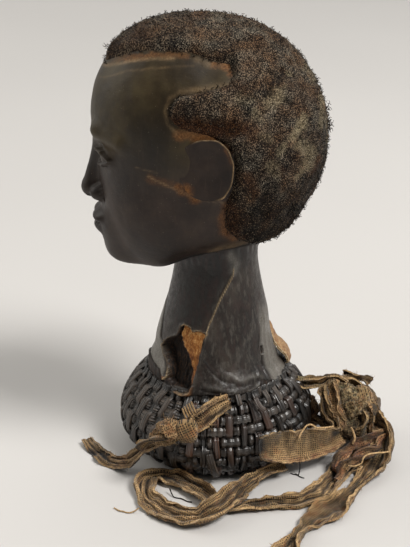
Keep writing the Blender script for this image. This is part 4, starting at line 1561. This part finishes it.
def add_warp(material):
    """Uprights that pass over two rows and under one, and loose ends of cane."""
    rng = np.random.default_rng(4)
    stations, across = 84, 8
    share = np.linspace(0.012, 0.992, stations)
    row = share * CAP_ROWS - 0.5
    nearest = np.clip(np.round(row), 0, CAP_ROWS - 1)
    between = smooth(0.5, 0.28, np.abs(row - nearest))
    section = np.linspace(0, 2 * np.pi, across, endpoint=False) + np.pi / 8
    parts = []
    for strand in range(CAP_STRANDS):
        around = (2 * np.pi * strand / CAP_STRANDS + np.pi) % (2 * np.pi) - np.pi
        over = np.where((strand + nearest) % 3 != 0, 1.0, -1.0)
        joined = (over > 0) & ((strand + np.floor(row)) % 3 != 0) & ((strand + np.floor(row) + 1) % 3 != 0)
        lift = (1.5 * over * between + np.where(joined, 1.5 * (1 - between), 0)) * smooth(0.97, 0.88, share)
        lift = lift - 0.9 * smooth(0.9, 0.97, share)
        worn_top = smooth(0.78, 0.95, share) * smooth(0.35, 0.6, around) * smooth(1.8, 1.4, around)
        dull = np.maximum(matte_at(around), 0.85 * worn_top)
        lean = matte_at(around) * 0.16 + 0.02 * rng.normal()
        a = around + lean * (share - 0.5) + 0.014 * np.sin(7 * share + strand)
        width = np.clip(2.65 + 0.4 * rng.normal(), 1.9, 3.3) * (1 + 0.1 * np.sin(9 * share + strand))
        side = (width * smooth(-0.02, 0.02, share))[:, None] * signed_power(np.cos(section), 0.85)
        deep = (1.9 - 0.7 * dull)[:, None] * np.sin(section) + lift[:, None] - 0.2
        points = cap_strand(share, a, 0 * deep, deep, side)
        reddish = rng.choice([0.0, 0.12, 0.35, 0.75], p=[0.44, 0.28, 0.18, 0.1])
        reddish = reddish * (1 - 0.4 * smooth(-0.1, 0.3, around)) * (0.8 + 0.5 * lumps(points, 12, 96))
        dirt = np.repeat(0.9 * smooth(0.5, -0.8, lift), across) + dark_hollow(points)
        marks = {"tone": np.clip(reddish + 0.2 * lumps(points, 9, 97), 0, 1), "dirt": np.clip(dirt, 0, 1),
                 "matte": np.repeat(dull * 0.9, across), "split": rng.choice([0.1, 0.5, 0.9]),
                 "across": side.ravel() + 0.9, "lengthwise": np.repeat(share * 76 + 31 * strand, across)}
        parts.append((points, rod_faces(stations, across), marks))
    for number, (path, outward, half, tone, dullness) in enumerate(LOOSE_ENDS):
        parts.append(slat(path, outward, half, 0.9, tone, dullness, number + 5))
    striped_piece("cap_warp", parts, material)


def add_lining(material):
    """A plain lining closes the gaps between the strands, and shows inside."""
    line, outward, _ = CAP_LINE
    outer = line[::-1][::40] - outward[::-1][::40] * 3.4
    profile = np.vstack([CAP_INSIDE, [(0.5, 57.5)], outer])
    profile[:, 1] = np.maximum(profile[:, 1], 0.4)
    a = np.linspace(-np.pi, np.pi, LINING_STEPS, endpoint=False)
    points = round_axis(profile[:, :1], a, profile[:, 1:]).reshape(-1, 3)
    angle = np.arctan2(points[:, 1], points[:, 0])
    points[:, :2] *= (1 + 0.35 * np.sin(22 * angle) / 60)[:, None]
    marks = {"tone": 0.1, "dirt": 0.7, "matte": 1.0, "split": 0.0, "across": points[:, 2],
             "lengthwise": 60 * angle}
    striped_piece("cap_lining", [(points, ring_faces(len(profile), LINING_STEPS), marks)], material)


def add_cap():
    dark_cane = cane_paint("dark_cane", shade(28, 24, 22), shade(86, 75, 66))
    add_weft(dark_cane)
    add_warp(cane_paint("brown_cane", shade(32, 26, 23), shade(92, 62, 47)))
    add_lining(dark_cane)


curls_paint = hair_paint()
add_head()
add_hair_mass(curls_paint)
add_curls(curls_paint)
add_neck()
add_cap()
add_cloth()
